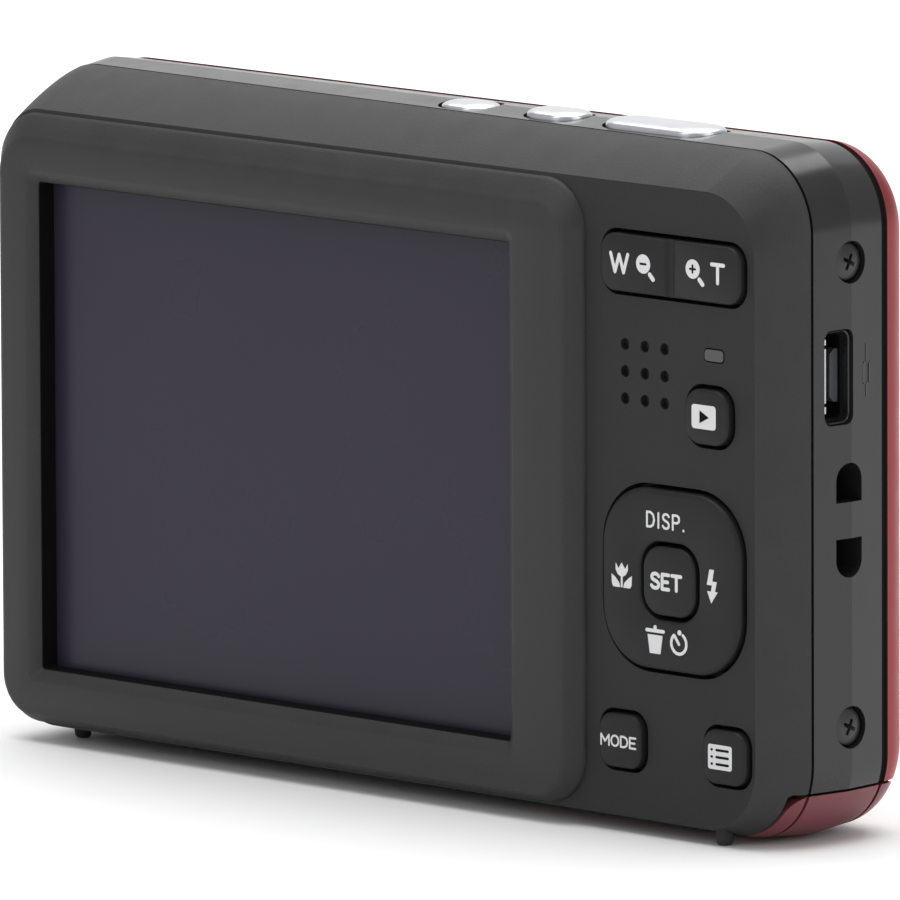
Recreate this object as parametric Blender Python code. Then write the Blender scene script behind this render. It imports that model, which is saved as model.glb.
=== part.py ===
"""Compact digital camera, built as an assembly of separate pieces.

Frame: the lens faces -Y, the screen faces +Y and the top is +Z. The grip and the shutter are at -X.
The origin is the middle of the bounding box's base, on the surface that the feet stand on.
Lengths in this file are millimetres, and MM turns them into Blender's metres when a mesh is made.
An outline is a list of points in a plane, and a ring is an outline placed in space.
"""

import math

import bmesh
import bpy

MM = 0.001
BENT = 1e-4
ALONG = {"X": 0, "Y": 1, "Z": 2}

# Casing outline, where the covers meet the middle frame
HALF_WIDTH = 45.8
BASE = 0.45
TOP = 57.4
CORNER = 6.6
TOP_FAR_CORNER = 5.2
CASING_STEPS = 8

# Casing depths along Y
SCREEN_FACE = 11.5
PANEL = 10.0
PANEL_BACK = 8.7
REAR_SEAM_GRIP = 6.0
REAR_SEAM_FAR = 3.1
FRONT_SEAM = -2.6
FRONT_FACE = -7.5
FRONT_BACK = -6.2
RING_FACE = -11.5

# How far the rear slope and the front edge draw in from the casing outline: far side, grip side, top, base
REAR_DRAW = (1.05, 2.7, 3.2, 1.0)
REAR_CURVE = 1.35
FRONT_DRAW = 5.5
RIDGE = 0.35
SEAM_GAP_REAR = 0.3
SEAM_GAP_FRONT = 0.7
WALL = 1.5
FRAME_WALL = 2.5
LIP_OUTSIDE = 2.05
LIP_REACH = 0.4
CLEAR = 0.3

# Screen
SCREEN_X = (-15.9, 39.9)
SCREEN_Z = (6.35, 48.15)
PANE_Y = (8.5, 9.1)
BUMP_X = (-22.7, 44.1)
BUMP_Z = (2.35, 51.95)

# Controls on the rear: centre x, centre z, width, height, corner radius
ROCKER = (-34.0, 47.55, 15.9, 4.8, 1.5)
PLAY = (-38.1, 35.65, 4.9, 4.6, 1.6)
PAD = (-34.0, 21.65, 15.7, 15.0, 5.0)
SET = (-33.9, 21.6, 5.9, 5.75, 1.9)
MODE = (-28.15, 7.75, 4.8, 4.5, 1.3)
MENU = (-40.0, 7.65, 4.8, 4.5, 1.3)
KEY_GAP = 0.36
KEY_FACE = 10.55
KEY_BACK = 7.9
FLANGE = 0.5
FLANGE_DEPTH = 0.3
INDICATOR = (-38.55, 40.75, 2.1, 0.95, 0.3)
SPEAKER_X = (-28.4, -30.65, -32.9)
SPEAKER_Z = (40.75, 38.5, 36.25)
SPEAKER_HOLE = 0.5

# Controls on the top: centre x, length, width, height over the seam outline
POWER = (-2.8, 5.3, 4.0, 0.55)
VIDEO = (-13.1, 5.9, 4.2, 0.8)
SHUTTER = (-25.35, 12.0, 4.8, 0.8)
TOP_ROW_Y = 1.9

# Grip side
SIDE_SCREW_Y = {-1: 1.7, 1: 0.5}
SIDE_SCREW_Z = (9.85, 48.35)
SCREW_HEAD = 1.55
USB_Y, USB_Z = 3.1, 38.95
STRAP_Y, STRAP_Z = 1.9, 27.05

# Battery door and its hinge
DOOR_END_X = -13.0
DOOR_Y = (-5.7, 7.3)
DOOR_WALL = 1.25
HINGE_X, HINGE_Z = -43.23, 3.5
KNUCKLE = 0.95
DOOR_TOP = 4.47
LIP_Z = 4.7
LIP_X = -42.0
# Radius and y of the hollow that the door's edge turns in, which keeps inside the casing
HINGE_HOLLOW = (
    (1.35, -6.0),
    (1.55, -5.1),
    (1.92, -4.5),
    (2.3, -3.5),
    (2.4, -2.1),
    (2.7, 1.9),
    (2.4, 5.5),
    (2.25, 6.6),
    (1.95, 7.3),
    (1.6, 7.6),
)
BEAD = 0.9
PIN = 0.45
TONGUE_Y = (0.5, 1.8)

# Lens
LENS_X, LENS_Z = 12.0, 28.5
LENS_STEPS = 40
CAM_TEETH = 64
GEAR_TEETH = 16
TOOTH_MODULE = 0.6
TOOTH_REACH = 0.35
GEAR_ANGLE = -30.0
BLADE_PIVOT = 11.0

# Front
FLASH = (-21.0, 47.3, 9.6, 5.4, 0.8)
AF_X, AF_Z = -11.6, 49.2
MIC_X, MIC_Z = 36.0, 46.0

# Base
BUSH_X, BUSH_Y = 10.0, 0.3
BUSH = 4.0
FOOT_PLACES = {
    "foot_rear_far": (39.5, 6.4),
    "foot_rear_grip": (-38.3, 8.6),
    "foot_front_far": (36.0, -4.0),
    "foot_front_grip": (-8.5, -4.0),
}
FOOT = 0.75

COLOURS = {
    "soft_black": ((0.052, 0.052, 0.054), 0.62, 0.0),
    "gloss_black": ((0.045, 0.045, 0.047), 0.25, 0.0),
    "red_paint": ((0.33, 0.035, 0.05), 0.32, 0.6),
    "silver": ((0.72, 0.73, 0.75), 0.25, 0.9),
    "steel": ((0.55, 0.55, 0.56), 0.3, 1.0),
    "black_steel": ((0.05, 0.05, 0.05), 0.38, 0.7),
    "brass": ((0.6, 0.45, 0.2), 0.35, 1.0),
    "rubber": ((0.025, 0.025, 0.025), 0.85, 0.0),
    "screen": ((0.045, 0.04, 0.065), 0.12, 0.0),
    "lens_glass": ((0.12, 0.13, 0.2), 0.05, 0.0),
    "clear": ((0.8, 0.8, 0.8), 0.1, 0.0),
    "board": ((0.02, 0.16, 0.07), 0.5, 0.0),
    "pack": ((0.1, 0.11, 0.13), 0.45, 0.0),
}


# Outlines and rings


def rounded_rect(low_a, high_a, low_b, high_b, radius, steps=5):
    """Points round a rectangle with round corners, anticlockwise. Four radii start at the high corner."""
    radii = radius if isinstance(radius, tuple) else (radius,) * 4
    corners = ((high_a, high_b), (low_a, high_b), (low_a, low_b), (high_a, low_b))
    signs = ((1, 1), (-1, 1), (-1, -1), (1, -1))
    points = []
    for quarter, ((a, b), (sign_a, sign_b)) in enumerate(zip(corners, signs)):
        centre_a = a - sign_a * radii[quarter]
        centre_b = b - sign_b * radii[quarter]
        for step in range(steps + 1):
            angle = math.radians(90 * quarter + 90 * step / steps)
            points.append((centre_a + radii[quarter] * math.cos(angle), centre_b + radii[quarter] * math.sin(angle)))
    return points


def key_outline(key, grow=0.0, steps=5):
    """A key's outline, grown outwards by a gap or shrunk by a bevel."""
    x, z, width, height, radius = key
    half_w = width / 2 + grow
    half_h = height / 2 + grow
    return rounded_rect(x - half_w, x + half_w, z - half_h, z + half_h, radius + grow, steps)


def disc(centre_a, centre_b, radius, steps=16):
    """Points round a circle."""
    angles = [2 * math.pi * step / steps for step in range(steps)]
    return [(centre_a + radius * math.cos(a), centre_b + radius * math.sin(a)) for a in angles]


def at_depth(outline, depth):
    """An XZ outline placed at a depth, which may be a function of x."""
    where = depth if callable(depth) else lambda x: depth
    return [(x, where(x), z) for x, z in outline]


def placed(outline, axis, along):
    """A flat outline placed across an axis: YZ across X, XZ across Y and XY across Z."""
    others = [index for name, index in ALONG.items() if name != axis]
    ring = []
    for a, b in outline:
        point = [along, along, along]
        point[others[0]] = a
        point[others[1]] = b
        ring.append(tuple(point))
    return ring


# Solids, added to a mesh under construction


def add_loft(mesh, rings, loop=False):
    """A solid through rings of equal length: capped at both ends, or closed on itself."""
    rows = [[mesh.verts.new(point) for point in ring] for ring in rings]
    count = len(rows[0])
    pairs = list(zip(rows, rows[1:]))
    if loop:
        pairs.append((rows[-1], rows[0]))
    for near, far in pairs:
        for index in range(count):
            following = (index + 1) % count
            mesh.faces.new((near[index], near[following], far[following], far[index]))
    if not loop:
        mesh.faces.new(rows[0])
        mesh.faces.new(rows[-1])


def add_prism(mesh, outline, axis, low, high):
    """A flat outline extruded along an axis."""
    add_loft(mesh, [placed(outline, axis, low), placed(outline, axis, high)])


def add_box(mesh, low, high):
    """A box between two corners."""
    outline = [(low[0], low[1]), (high[0], low[1]), (high[0], high[1]), (low[0], high[1])]
    add_prism(mesh, outline, "Z", low[2], high[2])


def add_turned(mesh, profile, axis, centre, steps=24, loop=False):
    """A profile of (radius, along) turned about an axis through a centre. A loop makes a hollow ring."""
    rings = []
    for radius, along in profile:
        rings.append(placed(disc(centre[0], centre[1], radius, steps), axis, along))
    add_loft(mesh, rings, loop)


def add_tube(mesh, inner, outer, axis, centre, low, high, steps=LENS_STEPS):
    """A plain tube between two radii."""
    add_turned(mesh, [(inner, low), (outer, low), (outer, high), (inner, high)], axis, centre, steps, True)


# Objects


def clear_scene():
    for obj in list(bpy.data.objects):
        bpy.data.objects.remove(obj, do_unlink=True)


def finish_of(name):
    """The Principled material of a named finish, made once."""
    found = bpy.data.materials.get(name)
    if found:
        return found
    colour, roughness, metallic = COLOURS[name]
    made = bpy.data.materials.new(name)
    made.use_nodes = True
    shader = made.node_tree.nodes["Principled BSDF"]
    shader.inputs["Base Color"].default_value = (*colour, 1.0)
    shader.inputs["Roughness"].default_value = roughness
    shader.inputs["Metallic"].default_value = metallic
    return made


def split_bent_faces(mesh):
    """Cuts faces that aren't flat into triangles, so that Booleans meet them exactly."""
    mesh.normal_update()
    bent = []
    for face in mesh.faces:
        centre = face.calc_center_median()
        if max(abs((vert.co - centre).dot(face.normal)) for vert in face.verts) > BENT:
            bent.append(face)
    bmesh.ops.triangulate(mesh, faces=bent)


def make(name, build, finish, origin=(0.0, 0.0, 0.0), smooth=35.0):
    """An object from a function that fills a mesh, with its origin where it turns or slides."""
    mesh = bmesh.new()
    build(mesh)
    bmesh.ops.recalc_face_normals(mesh, faces=mesh.faces)
    split_bent_faces(mesh)
    for vert in mesh.verts:
        vert.co = [(value - start) * MM for value, start in zip(vert.co, origin)]
    data = bpy.data.meshes.new(name)
    mesh.to_mesh(data)
    mesh.free()
    data.shade_smooth()
    data.set_sharp_from_angle(angle=math.radians(smooth))
    obj = bpy.data.objects.new(name, data)
    obj.location = [value * MM for value in origin]
    bpy.context.scene.collection.objects.link(obj)
    if finish:
        data.materials.append(finish_of(finish))
    return obj


def cutter(name, build):
    """A solid that only shapes others, and isn't part of the camera."""
    obj = make("cutter_" + name, build, None)
    obj.hide_render = True
    obj.display_type = "WIRE"
    return obj


def combine(target, other, operation="DIFFERENCE"):
    """Cuts, joins or intersects one object with another."""
    boolean = target.modifiers.new(operation.lower() + "_" + other.name, "BOOLEAN")
    boolean.operation = operation
    boolean.object = other
    boolean.solver = "EXACT"


def cut(target, name, build):
    combine(target, cutter(name, build))


# The casing's outer form


def rear_seam(x):
    """The depth of the seam between rear cover and frame, which slants across the camera."""
    share = (x + HALF_WIDTH) / (2 * HALF_WIDTH)
    return REAR_SEAM_GRIP + share * (REAR_SEAM_FAR - REAR_SEAM_GRIP)


def casing_outline(draws, extra=0.0):
    """The casing's outline drawn in by four amounts and by a wall."""
    far, grip, top, base = [draw + extra for draw in draws]
    inset = 0.55 * (sum(draws) / 4) + extra
    radii = [max(radius - inset, 1.2) for radius in (TOP_FAR_CORNER, CORNER, CORNER, CORNER)]
    return rounded_rect(
        -HALF_WIDTH + grip, HALF_WIDTH - far, BASE + base, TOP - top, tuple(radii), CASING_STEPS
    )


def rear_ring(share, extra=0.0, shift=0.0):
    """A ring on the rear slope, from the control panel (0) to the seam (1)."""
    draws = [draw * (1 - share) ** REAR_CURVE for draw in REAR_DRAW]
    return at_depth(
        casing_outline(draws, extra), lambda x: PANEL + share * (rear_seam(x) - PANEL) + shift
    )


def front_ring(degrees, extra=0.0, back=FRONT_FACE, shift=0.0):
    """A ring on the front cover's round edge, from the seam (0) to the face (90)."""
    angle = math.radians(degrees)
    draw = (FRONT_DRAW - extra) * (1 - math.cos(angle))
    depth = FRONT_SEAM + (back - FRONT_SEAM) * math.sin(angle) + shift
    return at_depth(casing_outline([draw] * 4, extra), depth)


def ridge_ring(extra=0.0):
    """The crest of the frame's shallow ridge."""
    return at_depth(casing_outline([-RIDGE] * 4, extra), lambda x: (rear_seam(x) + FRONT_SEAM) / 2)


REAR_SHARES = (0.0, 0.12, 0.3, 0.55, 0.8, 1.0)
FRONT_ANGLES = (0, 15, 30, 45, 60, 75, 90)


def add_hull(mesh, extra=0.0):
    """The whole casing as one solid form, drawn in by a wall."""
    rings = [rear_ring(share, extra) for share in REAR_SHARES]
    rings.append(ridge_ring(extra))
    rings += [front_ring(angle, extra) for angle in FRONT_ANGLES]
    add_loft(mesh, rings)


def door_region(name, grow):
    """The space of the battery door, wrapped round the lower grip corner. A grown one is its opening."""
    low_y, high_y = DOOR_Y[0] - grow, DOOR_Y[1] + grow
    hinge = (HINGE_X, HINGE_Z)
    edge_x, top = (LIP_X, LIP_Z) if grow else (HINGE_X, DOOR_TOP)
    region = cutter(name, lambda m: add_box(m, (-60, low_y, -6), (DOOR_END_X + grow, high_y, HINGE_Z)))
    edge = cutter(name + "_edge", lambda m: add_box(m, (-58, low_y, -5), (edge_x, high_y, top)))
    combine(region, edge, "UNION")
    if not grow:
        knuckle = [(KNUCKLE, low_y), (KNUCKLE, high_y)]
        combine(region, cutter(name + "_knuckle", lambda m: add_turned(m, knuckle, "Y", hinge, 24)), "UNION")
    side = rounded_rect(low_y, high_y, -6.5, top, 1.5, 5)
    outline = cutter(name + "_outline", lambda m: add_prism(m, side, "X", -59, DOOR_END_X + grow + 1))
    combine(region, outline, "INTERSECT")
    if grow:
        hollow = cutter(name + "_hollow", lambda m: add_turned(m, HINGE_HOLLOW, "Y", hinge, 32))
        combine(region, hollow, "UNION")
    return region


# Casing pieces


def build_rear_cover(opening):
    def shell(mesh):
        rings = [rear_ring(share) for share in REAR_SHARES[:-1]]
        rings.append(rear_ring(1.0, 0.0, SEAM_GAP_REAR / 2))
        rings.append(rear_ring(1.0, WALL, SEAM_GAP_REAR / 2))
        rings.append(rear_ring(0.75, WALL))
        rings.append(at_depth(casing_outline([d * 0.6 for d in REAR_DRAW], WALL), PANEL_BACK))
        add_loft(mesh, rings)

    def bump(mesh):
        """The raised screen surround: a flat face with a soft chamfer all round."""
        levels = (
            (PANEL_BACK + 0.1, 0.8, 0.45, 2.0, 1.2),
            (PANEL - 0.15, 1.1, 0.75, 2.0, 1.2),
            (PANEL + 0.15, 0.95, 0.7, 1.85, 1.1),
            (SCREEN_FACE - 0.2, 0.0, 0.0, 0.05, 0.0),
            (SCREEN_FACE, -0.35, -0.35, -0.35, -0.35),
        )
        rings = []
        for depth, far, base, top, grip in levels:
            outline = rounded_rect(
                BUMP_X[0] - grip, BUMP_X[1] + far, BUMP_Z[0] - base, BUMP_Z[1] + top, 3.4 + top / 2, 7
            )
            rings.append(at_depth(outline, depth))
        add_loft(mesh, rings)

    def openings(mesh):
        rings = []
        for depth, grow in ((PANEL_BACK - 1, 0), (SCREEN_FACE - 0.65, 0), (SCREEN_FACE + 0.65, 1.8)):
            outline = rounded_rect(
                SCREEN_X[0] - grow, SCREEN_X[1] + grow, SCREEN_Z[0] - grow, SCREEN_Z[1] + grow, 0.35 + grow / 2, 3
            )
            rings.append(at_depth(outline, depth))
        add_loft(mesh, rings)
        for key in (ROCKER, PLAY, PAD, MODE, MENU):
            add_prism(mesh, key_outline(key, KEY_GAP), "Y", PANEL_BACK - 1, PANEL + 1)
        add_prism(mesh, key_outline(INDICATOR, 0.12, 3), "Y", PANEL_BACK - 1, PANEL + 1)
        for x in SPEAKER_X:
            for z in SPEAKER_Z:
                add_prism(mesh, disc(x, z, SPEAKER_HOLE, 8), "Y", PANEL_BACK - 1, PANEL + 1)
        add_turned(mesh, [(BUSH + CLEAR, -2), (BUSH + CLEAR, 4)], "Z", (BUSH_X, BUSH_Y), 24)
        for name in ("foot_rear_far", "foot_rear_grip"):
            add_prism(mesh, disc(*FOOT_PLACES[name], FOOT + 0.15, 12), "Z", -1, BASE + 1.7)

    cover = make("rear_cover", shell, "soft_black")
    combine(cover, cutter("screen_surround", bump), "UNION")
    cut(cover, "rear_openings", openings)
    combine(cover, opening)


def build_mid_frame(opening):
    def band(mesh):
        """A ridged band with a lip at each side that reaches under the covers."""
        rear = -SEAM_GAP_REAR / 2
        front = FRONT_SEAM + SEAM_GAP_FRONT / 2
        rings = [rear_ring(1.0, 0.0, rear), ridge_ring(), at_depth(casing_outline([0] * 4), front)]
        lip = front - SEAM_GAP_FRONT - LIP_REACH
        for wall, depth in ((LIP_OUTSIDE, front), (LIP_OUTSIDE, lip), (FRAME_WALL, lip)):
            rings.append(at_depth(casing_outline([0] * 4, wall), depth))
        lip = rear + SEAM_GAP_REAR + LIP_REACH
        for wall, shift in ((FRAME_WALL, lip), (LIP_OUTSIDE, lip), (LIP_OUTSIDE, rear)):
            rings.append(rear_ring(1.0, wall, shift))
        add_loft(mesh, rings, True)

    def strap_boss(mesh):
        add_box(mesh, (-44.6, -0.1, STRAP_Z - 5.6), (-42.3, 3.9, STRAP_Z + 5.6))

    def openings(mesh):
        """Button holes, connector mouth, screw seats and the tripod bush's hole."""
        for x, length, width, _ in (POWER, VIDEO, SHUTTER):
            half = length / 2 + CLEAR
            side = width / 2 + CLEAR
            outline = rounded_rect(x - half, x + half, TOP_ROW_Y - side, TOP_ROW_Y + side, side - 0.05, 6)
            add_prism(mesh, outline, "Z", TOP - 4, TOP + 2)
        mouth = rounded_rect(USB_Y - 1.6, USB_Y + 1.6, USB_Z - 3.95, USB_Z + 3.95, 0.8, 4)
        add_prism(mesh, mouth, "X", -50, -43)
        for side in (-1, 1):
            for z in SIDE_SCREW_Z:
                seat = [(SCREW_HEAD + 0.22, 50), (SCREW_HEAD + 0.22, 44.9), (1.0, 44.85), (1.0, 43)]
                profile = [(radius, side * along) for radius, along in seat]
                add_turned(mesh, profile, "X", (SIDE_SCREW_Y[side], z), 16)
        add_turned(mesh, [(BUSH + CLEAR, -2), (BUSH + CLEAR, 8)], "Z", (BUSH_X, BUSH_Y), 24)

    def bush_boss(mesh):
        add_turned(mesh, [(BUSH + 0.9, 3.8), (BUSH + 0.9, 6.2)], "Z", (BUSH_X, BUSH_Y), 24)

    def bush_web(mesh):
        add_box(mesh, (BUSH_X - BUSH - 2, FRONT_SEAM + 0.3, 2.0), (BUSH_X + BUSH + 2, 3.6, 4.2))

    def strap_slot(mesh):
        """A pocket with a bar left across its mouth: two mouths, joined behind the bar."""
        mouth = rounded_rect(STRAP_Y - 1.5, STRAP_Y + 1.5, STRAP_Z - 4.75, STRAP_Z + 4.75, 1.49, 6)
        add_prism(mesh, mouth, "X", -48, -42.8)

    def strap_bar(mesh):
        add_box(mesh, (-46.6, STRAP_Y - 1.8, STRAP_Z - 1.5), (-44.7, STRAP_Y + 1.8, STRAP_Z + 1.5))

    frame = make("mid_frame", band, "gloss_black")
    combine(frame, cutter("strap_boss", strap_boss), "UNION")
    combine(frame, cutter("bush_web", bush_web), "UNION")
    combine(frame, cutter("bush_boss", bush_boss), "UNION")
    slot = cutter("strap_slot", strap_slot)
    combine(slot, cutter("strap_bar", strap_bar))
    combine(frame, slot)
    cut(frame, "frame_openings", openings)
    combine(frame, opening)


def build_front_cover(opening):
    def shell(mesh):
        rings = [front_ring(angle) for angle in reversed(FRONT_ANGLES[1:])]
        rings.append(front_ring(0, shift=-SEAM_GAP_FRONT / 2))
        rings.append(front_ring(0, WALL, FRONT_BACK, -SEAM_GAP_FRONT / 2))
        rings += [front_ring(angle, WALL, FRONT_BACK) for angle in FRONT_ANGLES[2::2]]
        add_loft(mesh, rings)

    def openings(mesh):
        add_turned(mesh, [(21.8, -9), (21.8, -5)], "Y", (LENS_X, LENS_Z), LENS_STEPS)
        add_prism(mesh, key_outline(FLASH, 0.15), "Y", -9, -5)
        add_prism(mesh, disc(AF_X, AF_Z, 1.75, 20), "Y", -9, -5)
        add_prism(mesh, disc(MIC_X, MIC_Z, 0.45, 12), "Y", -9, -5)
        add_turned(mesh, [(BUSH + CLEAR, -2), (BUSH + CLEAR, 4)], "Z", (BUSH_X, BUSH_Y), 24)
        for name in ("foot_front_far", "foot_front_grip"):
            add_prism(mesh, disc(*FOOT_PLACES[name], FOOT + 0.15, 12), "Z", -1, BASE + 1.7)

    cover = make("front_cover", shell, "red_paint")
    cut(cover, "front_openings", openings)
    combine(cover, opening)


def build_feet():
    for name, (x, y) in FOOT_PLACES.items():
        profile = [(FOOT * 0.62, 0.0), (FOOT * 0.9, 0.22), (FOOT, 0.55), (FOOT, BASE + 1.4)]
        make(name, lambda m: add_turned(m, profile, "Z", (x, y), 12), "rubber")


def build_screws():
    """Cross-head screws along X, two in each side of the frame."""
    for side, word in ((-1, "grip"), (1, "far")):
        for z, level in zip(SIDE_SCREW_Z, ("lower", "upper")):
            name = f"screw_{word}_{level}"

            def screw(mesh):
                steps = [(0.8, 40.6), (0.8, 45.1), (SCREW_HEAD, 45.1), (SCREW_HEAD, 45.7), (1.1, 45.95)]
                add_turned(mesh, [(r, side * a) for r, a in steps], "X", (SIDE_SCREW_Y[side], z), 16)

            obj = make(name, screw, "black_steel")
            for index, (half_y, half_z) in enumerate(((0.85, 0.2), (0.2, 0.85))):
                near, far = sorted((side * 45.35, side * 47))
                low = (near, SIDE_SCREW_Y[side] - half_y, z - half_z)
                high = (far, SIDE_SCREW_Y[side] + half_y, z + half_z)
                cut(obj, f"{name}_slot_{index}", lambda m: add_box(m, low, high))


# Screen and keys


def build_screen():
    window = (*SCREEN_X, *SCREEN_Z)
    low_x, high_x, low_z, high_z = window
    pane = rounded_rect(low_x + 0.25, high_x - 0.25, low_z + 0.25, high_z - 0.25, 0.4, 3)
    make("screen_window", lambda m: add_prism(m, pane, "Y", *PANE_Y), "screen")
    panel_low = (low_x - 2.1, 6.3, low_z - 1.95)
    panel_high = (high_x + 1.6, 8.4, high_z + 2.15)
    make("screen_panel", lambda m: add_box(m, panel_low, panel_high), "pack")
    base, top = panel_low[2] - 0.8, panel_high[2] + 0.8
    channel = [(5.4, base), (8.2, base), (8.2, base + 0.5), (5.9, base + 0.5)]
    channel += [(5.9, top - 0.5), (8.2, top - 0.5), (8.2, top), (5.4, top)]
    make("screen_bracket", lambda m: add_prism(m, channel, "X", low_x - 2.4, high_x + 2), "steel")


def add_key(mesh, key, face=KEY_FACE, flange=FLANGE, steps=5):
    """A key cap with a soft rim and a flange that holds it behind the panel."""
    levels = (
        (flange, KEY_BACK),
        (flange, KEY_BACK + FLANGE_DEPTH),
        (0.0, KEY_BACK + FLANGE_DEPTH),
        (0.0, face - 0.22),
        (-0.08, face - 0.07),
        (-0.25, face),
    )
    add_loft(mesh, [at_depth(key_outline(key, grow, steps), depth) for grow, depth in levels])


def build_rear_keys():
    for name, key in (("play_button", PLAY), ("mode_button", MODE), ("menu_button", MENU)):
        make(name, lambda m: add_key(m, key), "soft_black", (key[0], KEY_BACK, key[1]))
    make(
        "set_button",
        lambda m: add_key(m, SET, KEY_FACE + 0.1, 0.1, 6),
        "soft_black",
        (SET[0], KEY_BACK, SET[1]),
    )

    def pad(mesh):
        """The four-way pad: a ring round the middle key."""
        outer = (
            (FLANGE, KEY_BACK),
            (FLANGE, KEY_BACK + FLANGE_DEPTH),
            (0.0, KEY_BACK + FLANGE_DEPTH),
            (0.0, KEY_FACE - 0.3),
            (-0.1, KEY_FACE - 0.1),
            (-0.35, KEY_FACE),
        )
        inner = ((KEY_GAP + 0.15, KEY_FACE), (KEY_GAP, KEY_FACE - 0.15), (KEY_GAP, KEY_BACK))
        rings = [at_depth(key_outline(PAD, grow, 5), depth) for grow, depth in outer]
        rings += [at_depth(key_outline(SET, grow, 5), depth) for grow, depth in inner]
        add_loft(mesh, rings, True)

    make("four_way_pad", pad, "soft_black", (PAD[0], KEY_BACK, PAD[1]))

    def gimbal(mesh):
        """The ring under the pad, which tips one way while the pad tips the other way on it."""
        rings = [at_depth(key_outline(PAD, -1.2, 6), depth) for depth in (7.1, 7.45)]
        rings += [at_depth(key_outline(PAD, -2.7, 6), depth) for depth in (7.45, 7.1)]
        add_loft(mesh, rings, True)

    make("pad_gimbal", gimbal, "steel", (PAD[0], KEY_BACK, PAD[1]))

    x, z, _, height, _ = ROCKER
    rocker = make("zoom_rocker", lambda m: add_key(m, ROCKER), "soft_black", (x, KEY_BACK, z))
    groove_low = (x - 0.5, KEY_FACE - 0.2, z - height)
    groove_high = (x + 0.5, KEY_FACE + 1, z + height)
    cut(rocker, "rocker_groove", lambda m: add_box(m, groove_low, groove_high))


def build_rear_inside():
    """Rubber web, key board, speaker and indicator behind the control panel."""
    web = rounded_rect(-43.2, -23.9, 5.6, 52.2, 4.5, 4)

    def sheet(mesh):
        add_prism(mesh, web, "Y", 6.3, 6.65)

    def domes(mesh):
        places = [(key[0], key[1]) for key in (PLAY, SET, MODE, MENU)]
        places += [(ROCKER[0] + side * 4.2, ROCKER[1]) for side in (-1, 1)]
        for x, z in places:
            add_turned(mesh, [(1.5, 6.5), (1.2, 7.2)], "Y", (x, z), 12)

    def speaker_hole(mesh):
        add_prism(mesh, disc(SPEAKER_X[1], SPEAKER_Z[1], 4.6, 20), "Y", 6, 7)
        add_prism(mesh, key_outline(INDICATOR, 0.3, 2), "Y", 6, 7)

    rubber = make("key_rubber", sheet, "rubber")
    combine(rubber, cutter("key_domes", domes), "UNION")
    cut(rubber, "speaker_space", speaker_hole)
    board = rounded_rect(-43.2, -23.9, 7.2, 52.2, 2.5, 3)
    make("key_board", lambda m: add_prism(m, board, "Y", 5.4, 6.0), "board")
    speaker = [(3.2, 6.35), (3.2, 6.8), (4.2, 6.8), (4.2, 8.3), (3.6, 8.4)]
    make("speaker", lambda m: add_turned(m, speaker, "Y", (SPEAKER_X[1], SPEAKER_Z[1]), 20), "black_steel")
    make("indicator_light", lambda m: add_prism(m, key_outline(INDICATOR, 0, 3), "Y", 6.4, 10.05), "clear")


def build_top_controls():
    for name, (x, length, width, rise) in zip(
        ("power_button", "video_button", "shutter_button"), (POWER, VIDEO, SHUTTER)
    ):
        levels = (
            (0.5, TOP - 3.3),
            (0.5, TOP - 2.8),
            (0.0, TOP - 2.8),
            (0.0, TOP + rise - 0.5),
            (-0.18, TOP + rise - 0.2),
            (-0.55, TOP + rise - 0.05),
            (-1.1, TOP + rise),
        )

        def button(mesh):
            rings = []
            for grow, height in levels:
                half = length / 2 + grow
                side = width / 2 + grow
                outline = rounded_rect(
                    x - half, x + half, TOP_ROW_Y - side, TOP_ROW_Y + side, side - 0.05, 5
                )
                rings.append(placed(outline, "Z", height))
            add_loft(mesh, rings)

        make(name, button, "silver", (x, TOP_ROW_Y, TOP))

    def board(mesh):
        add_box(mesh, (-31, -0.6, 52.3), (2, 4.1, 52.9))

    def switches(mesh):
        for x, *_ in (POWER, VIDEO, SHUTTER):
            add_turned(mesh, [(1.3, 52.6), (1.0, 53.0)], "Z", (x, TOP_ROW_Y), 12)

    top_board = make("top_board", board, "board")
    combine(top_board, cutter("top_switches", switches), "UNION")


# Connector, boards and flash


def build_connector():
    def shell(mesh):
        rings = []
        for grow, along in ((-0.3, -40.9), (-0.3, -45.2), (0.0, -45.2), (0.0, -40.4)):
            outline = rounded_rect(
                USB_Y - 1.5 - grow, USB_Y + 1.5 + grow, USB_Z - 3.8 - grow, USB_Z + 3.8 + grow, 0.7 + grow, 4
            )
            rings.append(placed(outline, "X", along))
        add_loft(mesh, rings)

    make("usb_shell", shell, "steel")
    tongue_low = (-44.9, USB_Y + 0.25, USB_Z - 3.1)
    tongue_high = (-41.2, USB_Y + 1.0, USB_Z + 3.1)
    make("usb_tongue", lambda m: add_box(m, tongue_low, tongue_high), "steel")


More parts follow.
